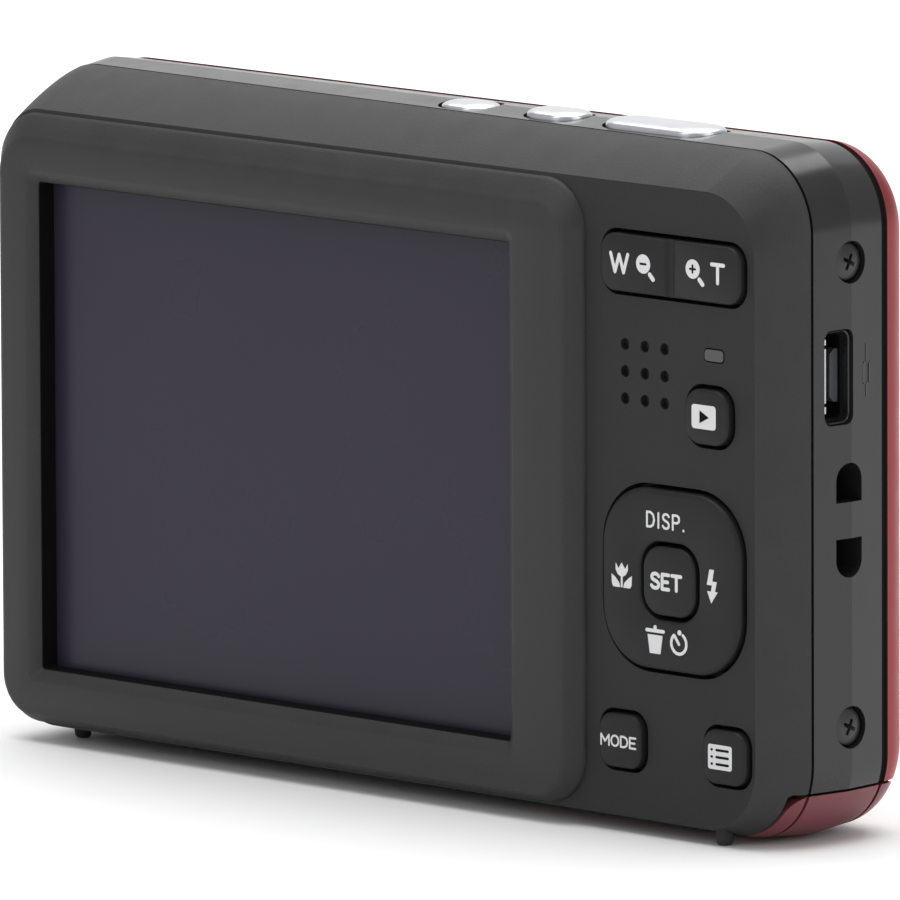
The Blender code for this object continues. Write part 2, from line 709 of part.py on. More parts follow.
def build_front_parts():
    x, z, width, height, _ = FLASH
    make("flash_window", lambda m: add_prism(m, key_outline(FLASH, 0), "Y", -7.55, -6.5), "clear")
    reflector = make(
        "flash_reflector",
        lambda m: add_box(m, (x - width / 2, -6.15, z - height / 2), (x + width / 2, -2.2, z + height / 2)),
        "silver",
    )

    def bowl(mesh):
        rings = []
        for depth, share in ((-6.6, 0.94), (-2.9, 0.5)):
            half_w = width / 2 * share
            half_h = height / 2 * share
            rings.append(at_depth(rounded_rect(x - half_w, x + half_w, z - half_h, z + half_h, 0.5, 3), depth))
        add_loft(mesh, rings)

    cut(reflector, "flash_bowl", bowl)
    tube = [(0.45, x - 2.3), (0.45, x + 2.3)]
    make("flash_tube", lambda m: add_turned(m, tube, "X", (-4.3, z), 12), "clear")
    can = [(2.0, 5.0), (2.4, 5.4), (2.4, 24.6), (2.0, 25.0)]
    make("flash_capacitor", lambda m: add_turned(m, can, "X", (-1.2, 51.9), 20), "pack")
    lamp = [(0.5, -7.75), (1.2, -7.65), (1.6, -7.45), (1.6, -5.6)]
    make("focus_lamp_lens", lambda m: add_turned(m, lamp, "Y", (AF_X, AF_Z), 20), "clear")
    make("microphone", lambda m: add_turned(m, [(1.6, -5.8), (1.6, -4.2)], "Y", (MIC_X, MIC_Z), 12), "steel")
    board = rounded_rect(-9.5, 39.5, 8.5, 50.5, 1.5, 2)
    make("main_board", lambda m: add_prism(m, board, "Y", 4.45, 5.05), "board")


# Lens


def toothed_arc(centre, root, teeth, first, count, tip, phase):
    """Points over a run of gear teeth, as (x, z), turning anticlockwise from the first tooth."""
    pitch = 2 * math.pi / teeth
    points = []
    for tooth in range(first, first + count):
        middle = phase + tooth * pitch
        for radius, share in ((root, -0.24), (tip, -0.12), (tip, 0.12), (root, 0.24)):
            angle = middle + share * pitch
            points.append((centre[0] + radius * math.cos(angle), centre[1] + radius * math.sin(angle)))
    return points


def gear_centre():
    distance = (CAM_TEETH + GEAR_TEETH) * TOOTH_MODULE / 2 + 0.15
    angle = math.radians(GEAR_ANGLE)
    return LENS_X + distance * math.cos(angle), LENS_Z + distance * math.sin(angle)


def build_lens():
    axis = (LENS_X, LENS_Z)
    gear_at = gear_centre()
    ring = [(19.1, -6.6), (21.4, -6.6), (21.4, -10.0), (21.0, -11.0), (20.3, RING_FACE), (19.5, -11.4), (19.1, -11.0)]
    make("lens_surround", lambda m: add_turned(m, ring, "Y", axis, LENS_STEPS, True), "gloss_black")

    plate = rounded_rect(LENS_X - 21.4, LENS_X + 21.4, LENS_Z - 20.8, LENS_Z + 20.8, 3, 3)
    base = make("lens_base", lambda m: add_prism(m, plate, "Y", 3.0, 4.1), "pack")
    tube = cutter("lens_base_tube", lambda m: add_tube(m, 19.7, 20.4, "Y", axis, -6.0, 3.2))
    combine(base, tube, "UNION")

    def windows(mesh):
        add_prism(mesh, disc(*gear_at, 5.5, 20), "Y", 0.6, 2.8)
        add_box(mesh, (LENS_X - 5, 2.5, LENS_Z - 4.5), (LENS_X + 5, 4.3, LENS_Z + 4.5))

    cut(base, "lens_base_windows", windows)
    make("image_sensor", lambda m: add_box(m, (LENS_X - 4.5, 1.5, LENS_Z - 4), (LENS_X + 4.5, 3.9, LENS_Z + 4)), "board")

    cam = make("cam_ring", lambda m: add_tube(m, 17.9, 18.6, "Y", axis, -7.0, 2.4), "pack", (LENS_X, 0, LENS_Z))
    pitch_radius = CAM_TEETH * TOOTH_MODULE / 2
    phase = math.radians(GEAR_ANGLE)
    sector = toothed_arc(axis, 18.55, CAM_TEETH, -1, 16, pitch_radius + TOOTH_REACH, phase)
    arc_start = phase + 14.5 * 2 * math.pi / CAM_TEETH
    arc_end = phase - 1.5 * 2 * math.pi / CAM_TEETH
    for step in range(13):
        angle = arc_start + (arc_end - arc_start) * step / 12
        sector.append((LENS_X + 18.2 * math.cos(angle), LENS_Z + 18.2 * math.sin(angle)))
    combine(cam, cutter("cam_teeth", lambda m: add_prism(m, sector, "Y", 1.0, 2.3)), "UNION")

    root = GEAR_TEETH * TOOTH_MODULE / 2 - 0.5
    tip = GEAR_TEETH * TOOTH_MODULE / 2 + TOOTH_REACH
    half_pitch = math.pi / GEAR_TEETH
    outline = toothed_arc(gear_at, root, GEAR_TEETH, 0, GEAR_TEETH, tip, phase + math.pi + half_pitch)
    gear = make("zoom_gear", lambda m: add_prism(m, outline, "Y", 1.0, 2.3), "clear", (gear_at[0], 0, gear_at[1]))
    cut(gear, "zoom_gear_bore", lambda m: add_prism(m, disc(*gear_at, 0.75, 12), "Y", 0, 3))
    motor = [(2.9, -5.7), (3.2, -5.4), (3.2, 0.4), (1.2, 0.4), (1.2, 0.7), (0.6, 0.7), (0.6, 2.6)]
    make("zoom_motor", lambda m: add_turned(m, motor, "Y", gear_at, 20), "steel")

    outer = [(16.9, -11.1), (17.3, -11.2), (17.55, -10.9), (17.55, 1.4), (16.9, 1.4)]
    make(
        "outer_barrel",
        lambda m: add_turned(m, outer, "Y", axis, LENS_STEPS, True),
        "silver",
        (LENS_X, 0, LENS_Z),
    )
    inner = [
        (6.2, -10.2),
        (6.6, -10.5),
        (14.0, -11.0),
        (16.2, -11.0),
        (16.55, -10.7),
        (16.55, 1.2),
        (14.6, 1.2),
        (14.6, -9.9),
        (6.2, -9.95),
    ]
    make(
        "inner_barrel",
        lambda m: add_turned(m, inner, "Y", axis, LENS_STEPS, True),
        "silver",
        (LENS_X, 0, LENS_Z),
    )
    cell = [(6.8, -8.7), (14.2, -8.7), (14.2, -5.8), (6.0, -5.8), (6.0, -6.2), (6.8, -6.2)]
    make("lens_cell", lambda m: add_turned(m, cell, "Y", axis, 24, True), "pack", (LENS_X, 0, LENS_Z))
    glass = [(0.4, -8.9), (2.6, -8.75), (4.6, -8.3), (6.5, -7.5), (6.5, -6.5), (0.4, -6.5)]
    make("front_element", lambda m: add_turned(m, glass, "Y", axis, 24), "lens_glass", (LENS_X, 0, LENS_Z))
    group = [(3.5, -2.2), (6.5, -1.6), (6.5, 0.2), (3.5, 0.5)]
    make("rear_element", lambda m: add_turned(m, group, "Y", axis, 24), "lens_glass", (LENS_X, 0, LENS_Z))

    for side, name in ((1, "cover_blade_upper"), (-1, "cover_blade_lower")):
        arc = [math.radians(180 - 15 * step) for step in range(11)]
        points = [(6.8 * math.cos(a), 6.8 * math.sin(a) + 0.06) for a in arc]
        points += [(BLADE_PIVOT, 1.3), (BLADE_PIVOT + 1.2, 0.8), (BLADE_PIVOT + 1.2, 0.06)]
        blade = [(LENS_X + side * a, LENS_Z + side * b) for a, b in points]
        make(
            name,
            lambda m: add_prism(m, blade, "Y", -9.65, -9.3),
            "black_steel",
            (LENS_X + side * BLADE_PIVOT, 0, LENS_Z),
        )


# Power and storage


def build_power():
    def holder(mesh):
        rings = []
        for wall, height in ((0.5, 43.9), (0.5, 6.7), (0.0, 6.7), (0.0, 44.4)):
            outline = [(-40.2 + wall, -5.7 + wall * 0.8), (-13.6 - wall, -5.7 + wall * 0.8)]
            outline += [(-13.6 - wall, -0.2 - wall * 0.8), (-40.2 + wall, -0.2 - wall * 0.8)]
            rings.append(placed(outline, "Z", height))
        add_loft(mesh, rings)

    make("battery_holder", holder, "pack")
    pack = rounded_rect(-39.5, -14.3, -5.15, -0.75, 1.2, 3)
    make("battery_pack", lambda m: add_prism(m, pack, "Z", 6.5, 42.5), "pack")
    contacts = make("battery_contacts", lambda m: add_box(m, (-33, -4.9, 43.0), (-20, -1.1, 43.6)), "brass")

    def contact_gaps(mesh):
        for x in (-29.2, -24.9):
            add_box(mesh, (x, -4.0, 42.8), (x + 1.1, 0, 43.7))

    cut(contacts, "contact_gaps", contact_gaps)

    def card_slot(mesh):
        rings = []
        for wall, height in ((0.35, 39.2), (0.35, 6.3), (0.0, 6.3), (0.0, 39.6)):
            outline = [(-39.4 + wall, 2.2 + wall), (-14.2 - wall, 2.2 + wall)]
            outline += [(-14.2 - wall, 5.2 - wall), (-39.4 + wall, 5.2 - wall)]
            rings.append(placed(outline, "Z", height))
        add_loft(mesh, rings)

    make("card_slot", card_slot, "steel")
    card = [(-38.8, 6.5), (-14.8, 6.5), (-14.8, 38.5), (-34.6, 38.5), (-38.8, 34.3)]
    make("memory_card", lambda m: add_prism(m, card, "Y", 2.68, 4.72), "pack")


def build_door():
    """The battery door: a skin wrapped round the corner, with a bead round its hinge pin."""
    hinge = (HINGE_X, HINGE_Z)
    door = make("battery_door", add_hull, "red_paint", (HINGE_X, 0, HINGE_Z))
    combine(door, door_region("door_space", 0.0), "INTERSECT")
    inside = cutter("door_inside", lambda m: add_hull(m, DOOR_WALL))
    bead = cutter("door_bead", lambda m: add_turned(m, [(BEAD, -20), (BEAD, 20)], "Y", hinge, 20))
    combine(inside, bead)
    combine(door, inside)

    def reliefs(mesh):
        add_turned(mesh, [(0.55, -3.8), (0.55, 6.8)], "Y", hinge, 16)

    cut(door, "door_pin_hole", reliefs)
    cut(door, "door_knuckle_space", lambda m: add_turned(m, [(0.96, -1.5), (0.96, 3.7)], "Y", hinge, 18))
    make(
        "hinge_pin",
        lambda m: add_turned(m, [(PIN - 0.05, -3.55), (PIN - 0.05, 6.55)], "Y", hinge, 16),
        "steel",
        (HINGE_X, 0, HINGE_Z),
    )
    neck = [(HINGE_X, HINGE_Z + 0.5), (-42.0, 4.1), (-22.0, 4.1)]
    neck += [(-22.0, 2.5), (-42.0, 2.5), (HINGE_X, HINGE_Z - 0.5)]
    carrier = make("door_carrier", lambda m: add_prism(m, neck, "Y", *TONGUE_Y), "steel")
    knuckle = cutter("carrier_knuckle", lambda m: add_turned(m, [(0.72, -1.2), (0.72, 3.4)], "Y", hinge, 16))
    combine(carrier, knuckle, "UNION")
    cut(carrier, "carrier_hole", lambda m: add_turned(m, [(0.52, -3), (0.52, 5)], "Y", hinge, 16))


def build_bush():
    """The tripod socket: a metal cup in the base."""
    profile = [(2.75, 6.3), (2.75, 0.6), (BUSH, 0.6), (BUSH, 7.2)]
    make("tripod_bush", lambda m: add_turned(m, profile, "Z", (BUSH_X, BUSH_Y), 24), "brass")


def main():
    clear_scene()
    opening = door_region("door_opening", CLEAR)
    build_rear_cover(opening)
    build_mid_frame(opening)
    build_front_cover(opening)
    build_feet()
    build_screws()
    build_bush()
    build_screen()
    build_rear_keys()
    build_rear_inside()
    build_top_controls()
    build_connector()
    build_front_parts()
    build_lens()
    build_power()
    build_door()


main()
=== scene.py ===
"""The looks of a compact digital camera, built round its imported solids.

Frame: the lens faces -Y, the screen faces +Y, the top is +Z and the grip is at -X.
Lengths here are millimetres, and MM turns them into metres when a mesh is made.
"""

import math

import bmesh
import bpy
from mathutils import Matrix, Vector


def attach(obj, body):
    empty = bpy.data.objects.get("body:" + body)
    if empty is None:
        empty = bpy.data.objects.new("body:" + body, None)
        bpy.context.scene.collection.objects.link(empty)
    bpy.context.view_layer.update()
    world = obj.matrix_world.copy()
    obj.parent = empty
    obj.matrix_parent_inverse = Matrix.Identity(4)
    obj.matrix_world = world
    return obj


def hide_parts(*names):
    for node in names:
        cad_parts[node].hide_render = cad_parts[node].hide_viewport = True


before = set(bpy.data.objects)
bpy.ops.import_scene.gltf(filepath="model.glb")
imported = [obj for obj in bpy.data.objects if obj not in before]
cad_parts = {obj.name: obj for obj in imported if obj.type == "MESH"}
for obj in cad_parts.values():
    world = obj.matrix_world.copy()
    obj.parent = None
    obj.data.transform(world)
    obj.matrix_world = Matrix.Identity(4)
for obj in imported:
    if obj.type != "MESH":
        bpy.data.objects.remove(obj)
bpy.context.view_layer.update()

MM = 0.001
ALONG = {"X": 0, "Y": 1, "Z": 2}
ROOT = "camera_body"

# Casing form, as in the solids
HALF_WIDTH = 45.8
BASE = 0.45
TOP = 57.4
CORNER = 6.6
TOP_FAR_CORNER = 5.2
CASING_STEPS = 24
SCREEN_FACE = 11.5
PANEL = 10.0
PANEL_BACK = 8.7
REAR_SEAM_GRIP = 6.0
REAR_SEAM_FAR = 3.1
FRONT_SEAM = -2.6
FRONT_FACE = -7.5
FRONT_BACK = -6.2
RING_FACE = -11.5
REAR_DRAW = (1.05, 2.7, 3.2, 1.0)
REAR_CURVE = 1.35
FRONT_DRAW = 5.5
RIDGE = 0.35
SEAM_GAP_REAR = 0.3
SEAM_GAP_FRONT = 0.7
WALL = 1.5
FRAME_WALL = 2.5
LIP_OUTSIDE = 2.05
LIP_REACH = 0.4
CLEAR = 0.3

# Screen
SCREEN_X = (-15.9, 39.9)
SCREEN_Z = (6.35, 48.15)
BUMP_X = (-22.7, 44.1)
BUMP_Z = (2.35, 51.95)
PANE_BACK, PANE_FRONT = 8.5, 9.1

# Keys: centre x, centre z, width, height, corner radius
ROCKER = (-34.0, 47.55, 15.9, 4.8, 1.5)
PLAY = (-38.1, 35.65, 4.9, 4.6, 1.6)
PAD = (-34.0, 21.65, 15.7, 15.0, 5.0)
SET = (-33.9, 21.6, 5.9, 5.75, 1.9)
MODE = (-28.15, 7.75, 4.8, 4.5, 1.3)
MENU = (-40.0, 7.65, 4.8, 4.5, 1.3)
KEY_GAP = 0.36
KEY_FACE = 10.55
KEY_BACK = 7.9
FLANGE = 0.5
FLANGE_DEPTH = 0.3
INDICATOR = (-38.55, 40.75, 2.1, 0.95, 0.3)
SPEAKER_X = (-28.4, -30.65, -32.9)
SPEAKER_Z = (40.75, 38.5, 36.25)
SPEAKER_HOLE = 0.5
DIMPLE_DEPTH = 0.55

# Top: centre x, length, width, rise
POWER = (-2.8, 5.3, 4.0, 0.55)
VIDEO = (-13.1, 5.9, 4.2, 0.8)
SHUTTER = (-25.35, 12.0, 4.8, 0.8)
TOP_ROW_Y = 1.9

# Grip side
SIDE_SCREW_Y = {-1: 1.7, 1: 0.5}
SIDE_SCREW_Z = (9.85, 48.35)
SCREW_HEAD = 1.55
USB_Y, USB_Z = 3.1, 38.95
USB_MOUTH = (1.6, 3.95)
USB_SHELL = (1.5, 3.8)
USB_RIM = (1.38, 3.72)
USB_CORNER = 0.7
STRAP_Y, STRAP_Z = 1.9, 27.05
STRAP_MOUTH = (1.5, 4.75)
STRAP_BAR = 1.5
PLUG_SIGN = (-46.03, -0.2, 39.2)
PLUG_LINE = 0.05

# Battery door
DOOR_END_X = -13.0
DOOR_Y = (-5.7, 7.3)
DOOR_WALL = 1.25
HINGE_X, HINGE_Z = -43.23, 3.5
KNUCKLE = 0.95
DOOR_TOP = 4.47
LIP_Z = 4.7
LIP_X = -42.0
GROOVE_DEPTH = 0.3
HINGE_HOLLOW = (
    (1.35, -6.0),
    (1.55, -5.1),
    (1.92, -4.5),
    (2.3, -3.5),
    (2.4, -2.1),
    (2.7, 1.9),
    (2.4, 5.5),
    (2.25, 6.6),
    (1.95, 7.3),
    (1.6, 7.6),
)
BEAD = 0.9

# Lens and front
LENS_X, LENS_Z = 12.0, 28.5
LENS_STEPS = 128
LENS_OPENING = 21.8
FLASH = (-21.0, 47.3, 9.6, 5.4, 0.8)
AF_X, AF_Z = -11.6, 49.2
AF_OPENING = 1.75
MIC_X, MIC_Z = 36.0, 46.0
MIC_OPENING = 0.45

# Base
BUSH_X, BUSH_Y = 10.0, 0.3
BUSH = 4.0
BUSH_BORE = 2.75
BUSH_THREAD = 2.98
THREAD_PITCH = 0.55
REAR_FEET = ((39.5, 6.4), (-38.3, 8.6))
FRONT_FEET = ((36.0, -4.0), (-8.5, -4.0))
FOOT = 0.75
FOOT_SEAT = 0.15

# Studio, in metres, degrees and watts
TARGET = Vector((0, 0, 0.029))
CAMERA_AZIMUTH = 44.66
CAMERA_ELEVATION = 8.4
CAMERA_ROLL = -0.246
CAMERA_DISTANCE = 1.5124
CAMERA_LEFT = 0.001236
CAMERA_DOWN = 0.00098
CAMERA_LENS = 722.8
CAMERA_SENSOR = 36
WORLD_STRENGTH = 0.45
FLOOR_RADIUS = 3000


# Materials


def principled(name):
    """A new material and its shader."""
    made = bpy.data.materials.new(name)
    made.use_nodes = True
    return made, made.node_tree.nodes["Principled BSDF"]


def noise(tree, size, detail=2.0, rough=0.5, stretch=(1, 1, 1)):
    """Noise over the object, with a feature size in millimetres."""
    where = tree.nodes.new("ShaderNodeTexCoord")
    place = tree.nodes.new("ShaderNodeMapping")
    place.inputs["Scale"].default_value = stretch
    made = tree.nodes.new("ShaderNodeTexNoise")
    made.inputs["Scale"].default_value = 1 / (size * MM)
    made.inputs["Detail"].default_value = detail
    made.inputs["Roughness"].default_value = rough
    tree.links.new(where.outputs["Object"], place.inputs["Vector"])
    tree.links.new(place.outputs["Vector"], made.inputs["Vector"])
    return made.outputs["Fac"]


def between(tree, factor, low, high):
    """A number that follows a factor from 0.3 to 0.7."""
    made = tree.nodes.new("ShaderNodeMapRange")
    made.inputs["From Min"].default_value = 0.3
    made.inputs["From Max"].default_value = 0.7
    made.inputs["To Min"].default_value = low
    made.inputs["To Max"].default_value = high
    tree.links.new(factor, made.inputs["Value"])
    return made.outputs["Result"]


def mixed(tree, factor, first, second):
    """Two colours mixed by a factor."""
    made = tree.nodes.new("ShaderNodeMix")
    made.data_type = "RGBA"
    made.inputs["A"].default_value = (*first, 1)
    made.inputs["B"].default_value = (*second, 1)
    tree.links.new(factor, made.inputs["Factor"])
    return made.outputs["Result"]


def shade(colour, change):
    return tuple(min(1.0, channel * change) for channel in colour)


def finish(
    name,
    colour,
    roughness,
    metallic=0.0,
    grain=0.15,
    bump=0.3,
    spread=0.12,
    patch=3.0,
    coat=0.0,
    stretch=(1, 1, 1),
    rough_spread=0.05,
    specular=0.5,
):
    """A surface with fine grain in its relief, slow variation in its colour and worn gloss."""
    made, shader = principled(name)
    tree = made.node_tree
    fine = noise(tree, grain, 3.0, 0.6, stretch)
    slow = noise(tree, patch, 4.0, 0.55)
    blend = tree.nodes.new("ShaderNodeMath")
    blend.operation = "MULTIPLY_ADD"
    blend.inputs[1].default_value = 0.5
    tree.links.new(fine, blend.inputs[0])
    half = tree.nodes.new("ShaderNodeMath")
    half.operation = "MULTIPLY"
    half.inputs[1].default_value = 0.5
    tree.links.new(slow, half.inputs[0])
    tree.links.new(half.outputs[0], blend.inputs[2])
    share = between(tree, blend.outputs[0], 0.0, 1.0)
    tint = mixed(tree, share, shade(colour, 1 - spread), shade(colour, 1 + spread))
    tree.links.new(tint, shader.inputs["Base Color"])
    gloss = between(tree, slow, roughness - rough_spread, roughness + rough_spread)
    tree.links.new(gloss, shader.inputs["Roughness"])
    shader.inputs["Metallic"].default_value = metallic
    shader.inputs["Specular IOR Level"].default_value = specular
    if coat:
        shader.inputs["Coat Weight"].default_value = coat
        shader.inputs["Coat Roughness"].default_value = 0.08
    if bump:
        relief = tree.nodes.new("ShaderNodeBump")
        relief.inputs["Strength"].default_value = bump
        relief.inputs["Distance"].default_value = grain * 0.25 * MM
        tree.links.new(fine, relief.inputs["Height"])
        tree.links.new(relief.outputs["Normal"], shader.inputs["Normal"])
    return made


def clear_finish(name, colour, roughness, transmission):
    """A clear or tinted moulding with faint ripples."""
    made = finish(name, colour, roughness, grain=1.5, bump=0.05, spread=0.04, rough_spread=0.02)
    shader = made.node_tree.nodes["Principled BSDF"]
    shader.inputs["Transmission Weight"].default_value = transmission
    return made


PLASTIC = finish(
    "textured_plastic", (0.024, 0.024, 0.024), 0.5, grain=0.16, bump=0.6, spread=0.2, specular=0.34
)
# A darker copy of the casing plastic for the control panel beside the screen: painted shade, where that
# panel takes less light.
PANEL_SHADE_PLASTIC = finish(
    "panel_painted_shade", (0.014, 0.014, 0.014), 0.5, grain=0.16, bump=0.5, spread=0.2, specular=0.28
)
KEYCAP = finish(
    "key_plastic", (0.011, 0.011, 0.011), 0.46, grain=0.12, bump=0.3, spread=0.12, specular=0.25
)
BAND = finish(
    "band_plastic",
    (0.016, 0.016, 0.017),
    0.2,
    grain=0.2,
    bump=0.04,
    spread=0.06,
    stretch=(1, 1, 0.3),
    specular=0.45,
)
RED = finish("red_metallic", (0.27, 0.038, 0.044), 0.42, 0.75, grain=0.09, bump=0.12, spread=0.16)
DOOR_RED = finish(
    "red_plastic", (0.17, 0.035, 0.044), 0.42, 0.25, grain=0.09, bump=0.15, spread=0.14, coat=0.12
)
SILVER = finish(
    "satin_silver", (0.66, 0.67, 0.7), 0.3, 0.95, grain=0.1, bump=0.03, spread=0.03, rough_spread=0.02
)
STEEL = finish("plated_steel", (0.56, 0.56, 0.57), 0.3, 1.0, grain=0.2, bump=0.12, spread=0.08)
SCREWS = finish("blackened_steel", (0.045, 0.045, 0.047), 0.36, 0.6, grain=0.12, bump=0.2, spread=0.15)
BRASS = finish("brass", (0.62, 0.46, 0.2), 0.33, 1.0, grain=0.2, bump=0.1, spread=0.1)
RUBBER = finish("rubber", (0.022, 0.022, 0.022), 0.82, grain=0.12, bump=0.5, spread=0.2)
SCREEN = finish(
    "screen_glass", (0.026, 0.022, 0.036), 0.3, grain=2.0, bump=0.0, spread=0.02, patch=18, specular=0.2
)
# Near-black: the dark print on the keys and the connector's shell, and painted shade on the sheets set in
# the front seam, the strap slot and round the screen's recess.
BLACK_PRINT_AND_SHADE = finish("black_print_and_painted_shade", (0.004, 0.004, 0.004), 0.7, grain=0.3, bump=0.1, spread=0.3, specular=0.1)
PRINT = finish("white_print", (0.66, 0.66, 0.67), 0.6, grain=0.12, bump=0.05, spread=0.05, specular=0.2)
FAINT = finish("faint_print", (0.075, 0.078, 0.082), 0.6, grain=0.2, bump=0.05, spread=0.1)
LIGHT_PIPE = finish("light_pipe", (0.055, 0.055, 0.055), 0.3, grain=0.3, bump=0.05, spread=0.08)
BOARD = finish("circuit_board", (0.02, 0.15, 0.07), 0.45, grain=0.6, bump=0.4, spread=0.3, patch=1.2)
INNER = finish("inner_plastic", (0.05, 0.052, 0.056), 0.5, grain=0.2, bump=0.25, spread=0.12)
PACK = finish("pack_sleeve", (0.09, 0.1, 0.12), 0.38, grain=0.25, bump=0.1, spread=0.08)
CARD = finish("card_blue", (0.03, 0.05, 0.12), 0.4, grain=0.15, bump=0.15, spread=0.08)
WHITE_PLASTIC = finish("white_plastic", (0.7, 0.7, 0.68), 0.45, grain=0.15, bump=0.1, spread=0.04)
GLASS = clear_finish("coated_glass", (0.42, 0.40, 0.62), 0.04, 0.9)
CLEAR_LENS = clear_finish("clear_moulding", (0.86, 0.88, 0.9), 0.1, 0.75)
ORANGE_LENS = clear_finish("amber_moulding", (0.75, 0.32, 0.1), 0.12, 0.4)


# Outlines, rings and solids


def rounded_rect(low_a, high_a, low_b, high_b, radius, steps=8):
    """Points round a rectangle with round corners, anticlockwise from the high corner.

    The radius is one number, or one for each corner.
    """
    radii = radius if isinstance(radius, tuple) else (radius,) * 4
    corners = ((high_a, high_b), (low_a, high_b), (low_a, low_b), (high_a, low_b))
    signs = ((1, 1), (-1, 1), (-1, -1), (1, -1))
    points = []
    for quarter, ((a, b), (sign_a, sign_b)) in enumerate(zip(corners, signs)):
        size = radii[quarter]
        centre_a = a - sign_a * size
        centre_b = b - sign_b * size
        for step in range(steps + 1):
            angle = math.radians(90 * quarter + 90 * step / steps)
            points.append((centre_a + size * math.cos(angle), centre_b + size * math.sin(angle)))
    return points


def centred(centre, halves, grow, radius, steps):
    """A rounded rectangle from its centre and half sizes, grown all round."""
    sides = []
    for middle, half in zip(centre, halves):
        sides += [middle - half - grow, middle + half + grow]
    return rounded_rect(*sides, radius, steps)


def key_outline(key, grow=0.0, steps=10):
    """The outline of a key, in x and z."""
    x, z, width, height, radius = key
    half_w = width / 2 + grow
    half_h = height / 2 + grow
    return rounded_rect(x - half_w, x + half_w, z - half_h, z + half_h, radius + grow, steps)


def disc(centre_a, centre_b, radius, steps=24):
    angles = [2 * math.pi * step / steps for step in range(steps)]
    return [(centre_a + radius * math.cos(a), centre_b + radius * math.sin(a)) for a in angles]


def at_depth(outline, depth):
    """An x and z outline placed at a y, which may be a function of x."""
    where = depth if callable(depth) else lambda x: depth
    return [(x, where(x), z) for x, z in outline]


def placed(outline, axis, along):
    """A flat outline placed across an axis."""
    others = [index for name, index in ALONG.items() if name != axis]
    ring = []
    for a, b in outline:
        point = [along, along, along]
        point[others[0]] = a
        point[others[1]] = b
        ring.append(tuple(point))
    return ring


def add_loft(mesh, rings, loop=False):
    """A solid through rings of equal length: capped at both ends, or closed on itself."""
    rows = [[mesh.verts.new(point) for point in ring] for ring in rings]
    count = len(rows[0])
    pairs = list(zip(rows, rows[1:]))
    if loop:
        pairs.append((rows[-1], rows[0]))
    for near, far in pairs:
        for index in range(count):
            following = (index + 1) % count
            mesh.faces.new((near[index], near[following], far[following], far[index]))
    if not loop:
        mesh.faces.new(rows[0])
        mesh.faces.new(rows[-1])


def add_prism(mesh, outline, axis, low, high):
    add_loft(mesh, [placed(outline, axis, low), placed(outline, axis, high)])


def add_box(mesh, low, high):
    outline = [(low[0], low[1]), (high[0], low[1]), (high[0], high[1]), (low[0], high[1])]
    add_prism(mesh, outline, "Z", low[2], high[2])


def add_turned(mesh, profile, axis, centre, steps=48, loop=False):
    rings = [placed(disc(centre[0], centre[1], radius, steps), axis, along) for radius, along in profile]
    add_loft(mesh, rings, loop)


# Pieces


def filled(name, mesh):
    """An object from a finished mesh in millimetres."""
    bmesh.ops.recalc_face_normals(mesh, faces=mesh.faces)
    for vert in mesh.verts:
        vert.co *= MM
    data = bpy.data.meshes.new(name)
    mesh.to_mesh(data)
    mesh.free()
    obj = bpy.data.objects.new(name, data)
    bpy.context.scene.collection.objects.link(obj)
    return obj


def solid(name, build):
    """An object from a function that fills a mesh."""
    mesh = bmesh.new()
    build(mesh)
    return filled(name, mesh)


def shaped(obj, *steps):
    """Applies Booleans, each a pair of an operation and another object, and removes the others."""
    for operation, other in steps:
        boolean = obj.modifiers.new(operation, "BOOLEAN")
        boolean.operation = operation
        boolean.object = other
        boolean.solver = "EXACT"
    graph = bpy.context.evaluated_depsgraph_get()
    graph.update()
    made = bpy.data.meshes.new_from_object(obj.evaluated_get(graph))
    obj.modifiers.clear()
    old = obj.data
    obj.data = made
    bpy.data.meshes.remove(old)
    for other in {other for _, other in steps}:
        bpy.data.objects.remove(other, do_unlink=True)
    return obj


def round_edges(obj, width, degrees, harden):
    """Rounds the edges that are sharper than an angle."""
    rounding = obj.modifiers.new("round_edges", "BEVEL")
    rounding.width = width * MM
    rounding.segments = 2
    rounding.limit_method = "ANGLE"
    rounding.angle_limit = math.radians(degrees)
    rounding.harden_normals = harden


def piece(obj, material, body=ROOT, nodes=(), sharp=30.0, edge=0.0):
    """Finishes an object: material, shading, rounded edges, its body and the nodes it stands for."""
    obj.data.materials.clear()
    obj.data.materials.append(material)
    obj.data.shade_smooth()
    obj.data.set_sharp_from_angle(angle=math.radians(sharp))
    if edge:
        round_edges(obj, edge, sharp, True)
    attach(obj, body)
    if nodes:
        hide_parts(*nodes)
    return obj


def rear_seam(x):
    """How far back the rear seam lies, which slants from the grip to the far side."""
    share = (x + HALF_WIDTH) / (2 * HALF_WIDTH)
    return REAR_SEAM_GRIP + share * (REAR_SEAM_FAR - REAR_SEAM_GRIP)


def casing_outline(draws, extra=0.0):
    """The casing's outline, drawn in at its far side, grip side, top and base."""
    far, grip, top, base = [draw + extra for draw in draws]
    inset = 0.55 * (sum(draws) / 4) + extra
    radii = [max(radius - inset, 1.2) for radius in (TOP_FAR_CORNER, CORNER, CORNER, CORNER)]
    return rounded_rect(
        -HALF_WIDTH + grip, HALF_WIDTH - far, BASE + base, TOP - top, tuple(radii), CASING_STEPS
    )


def rear_ring(share, extra=0.0, shift=0.0):
    """A ring of the rear's curved flank, from its flat face (0) to its seam (1)."""
    draws = [draw * (1 - share) ** REAR_CURVE for draw in REAR_DRAW]
    return at_depth(
        casing_outline(draws, extra), lambda x: PANEL + share * (rear_seam(x) - PANEL) + shift
    )


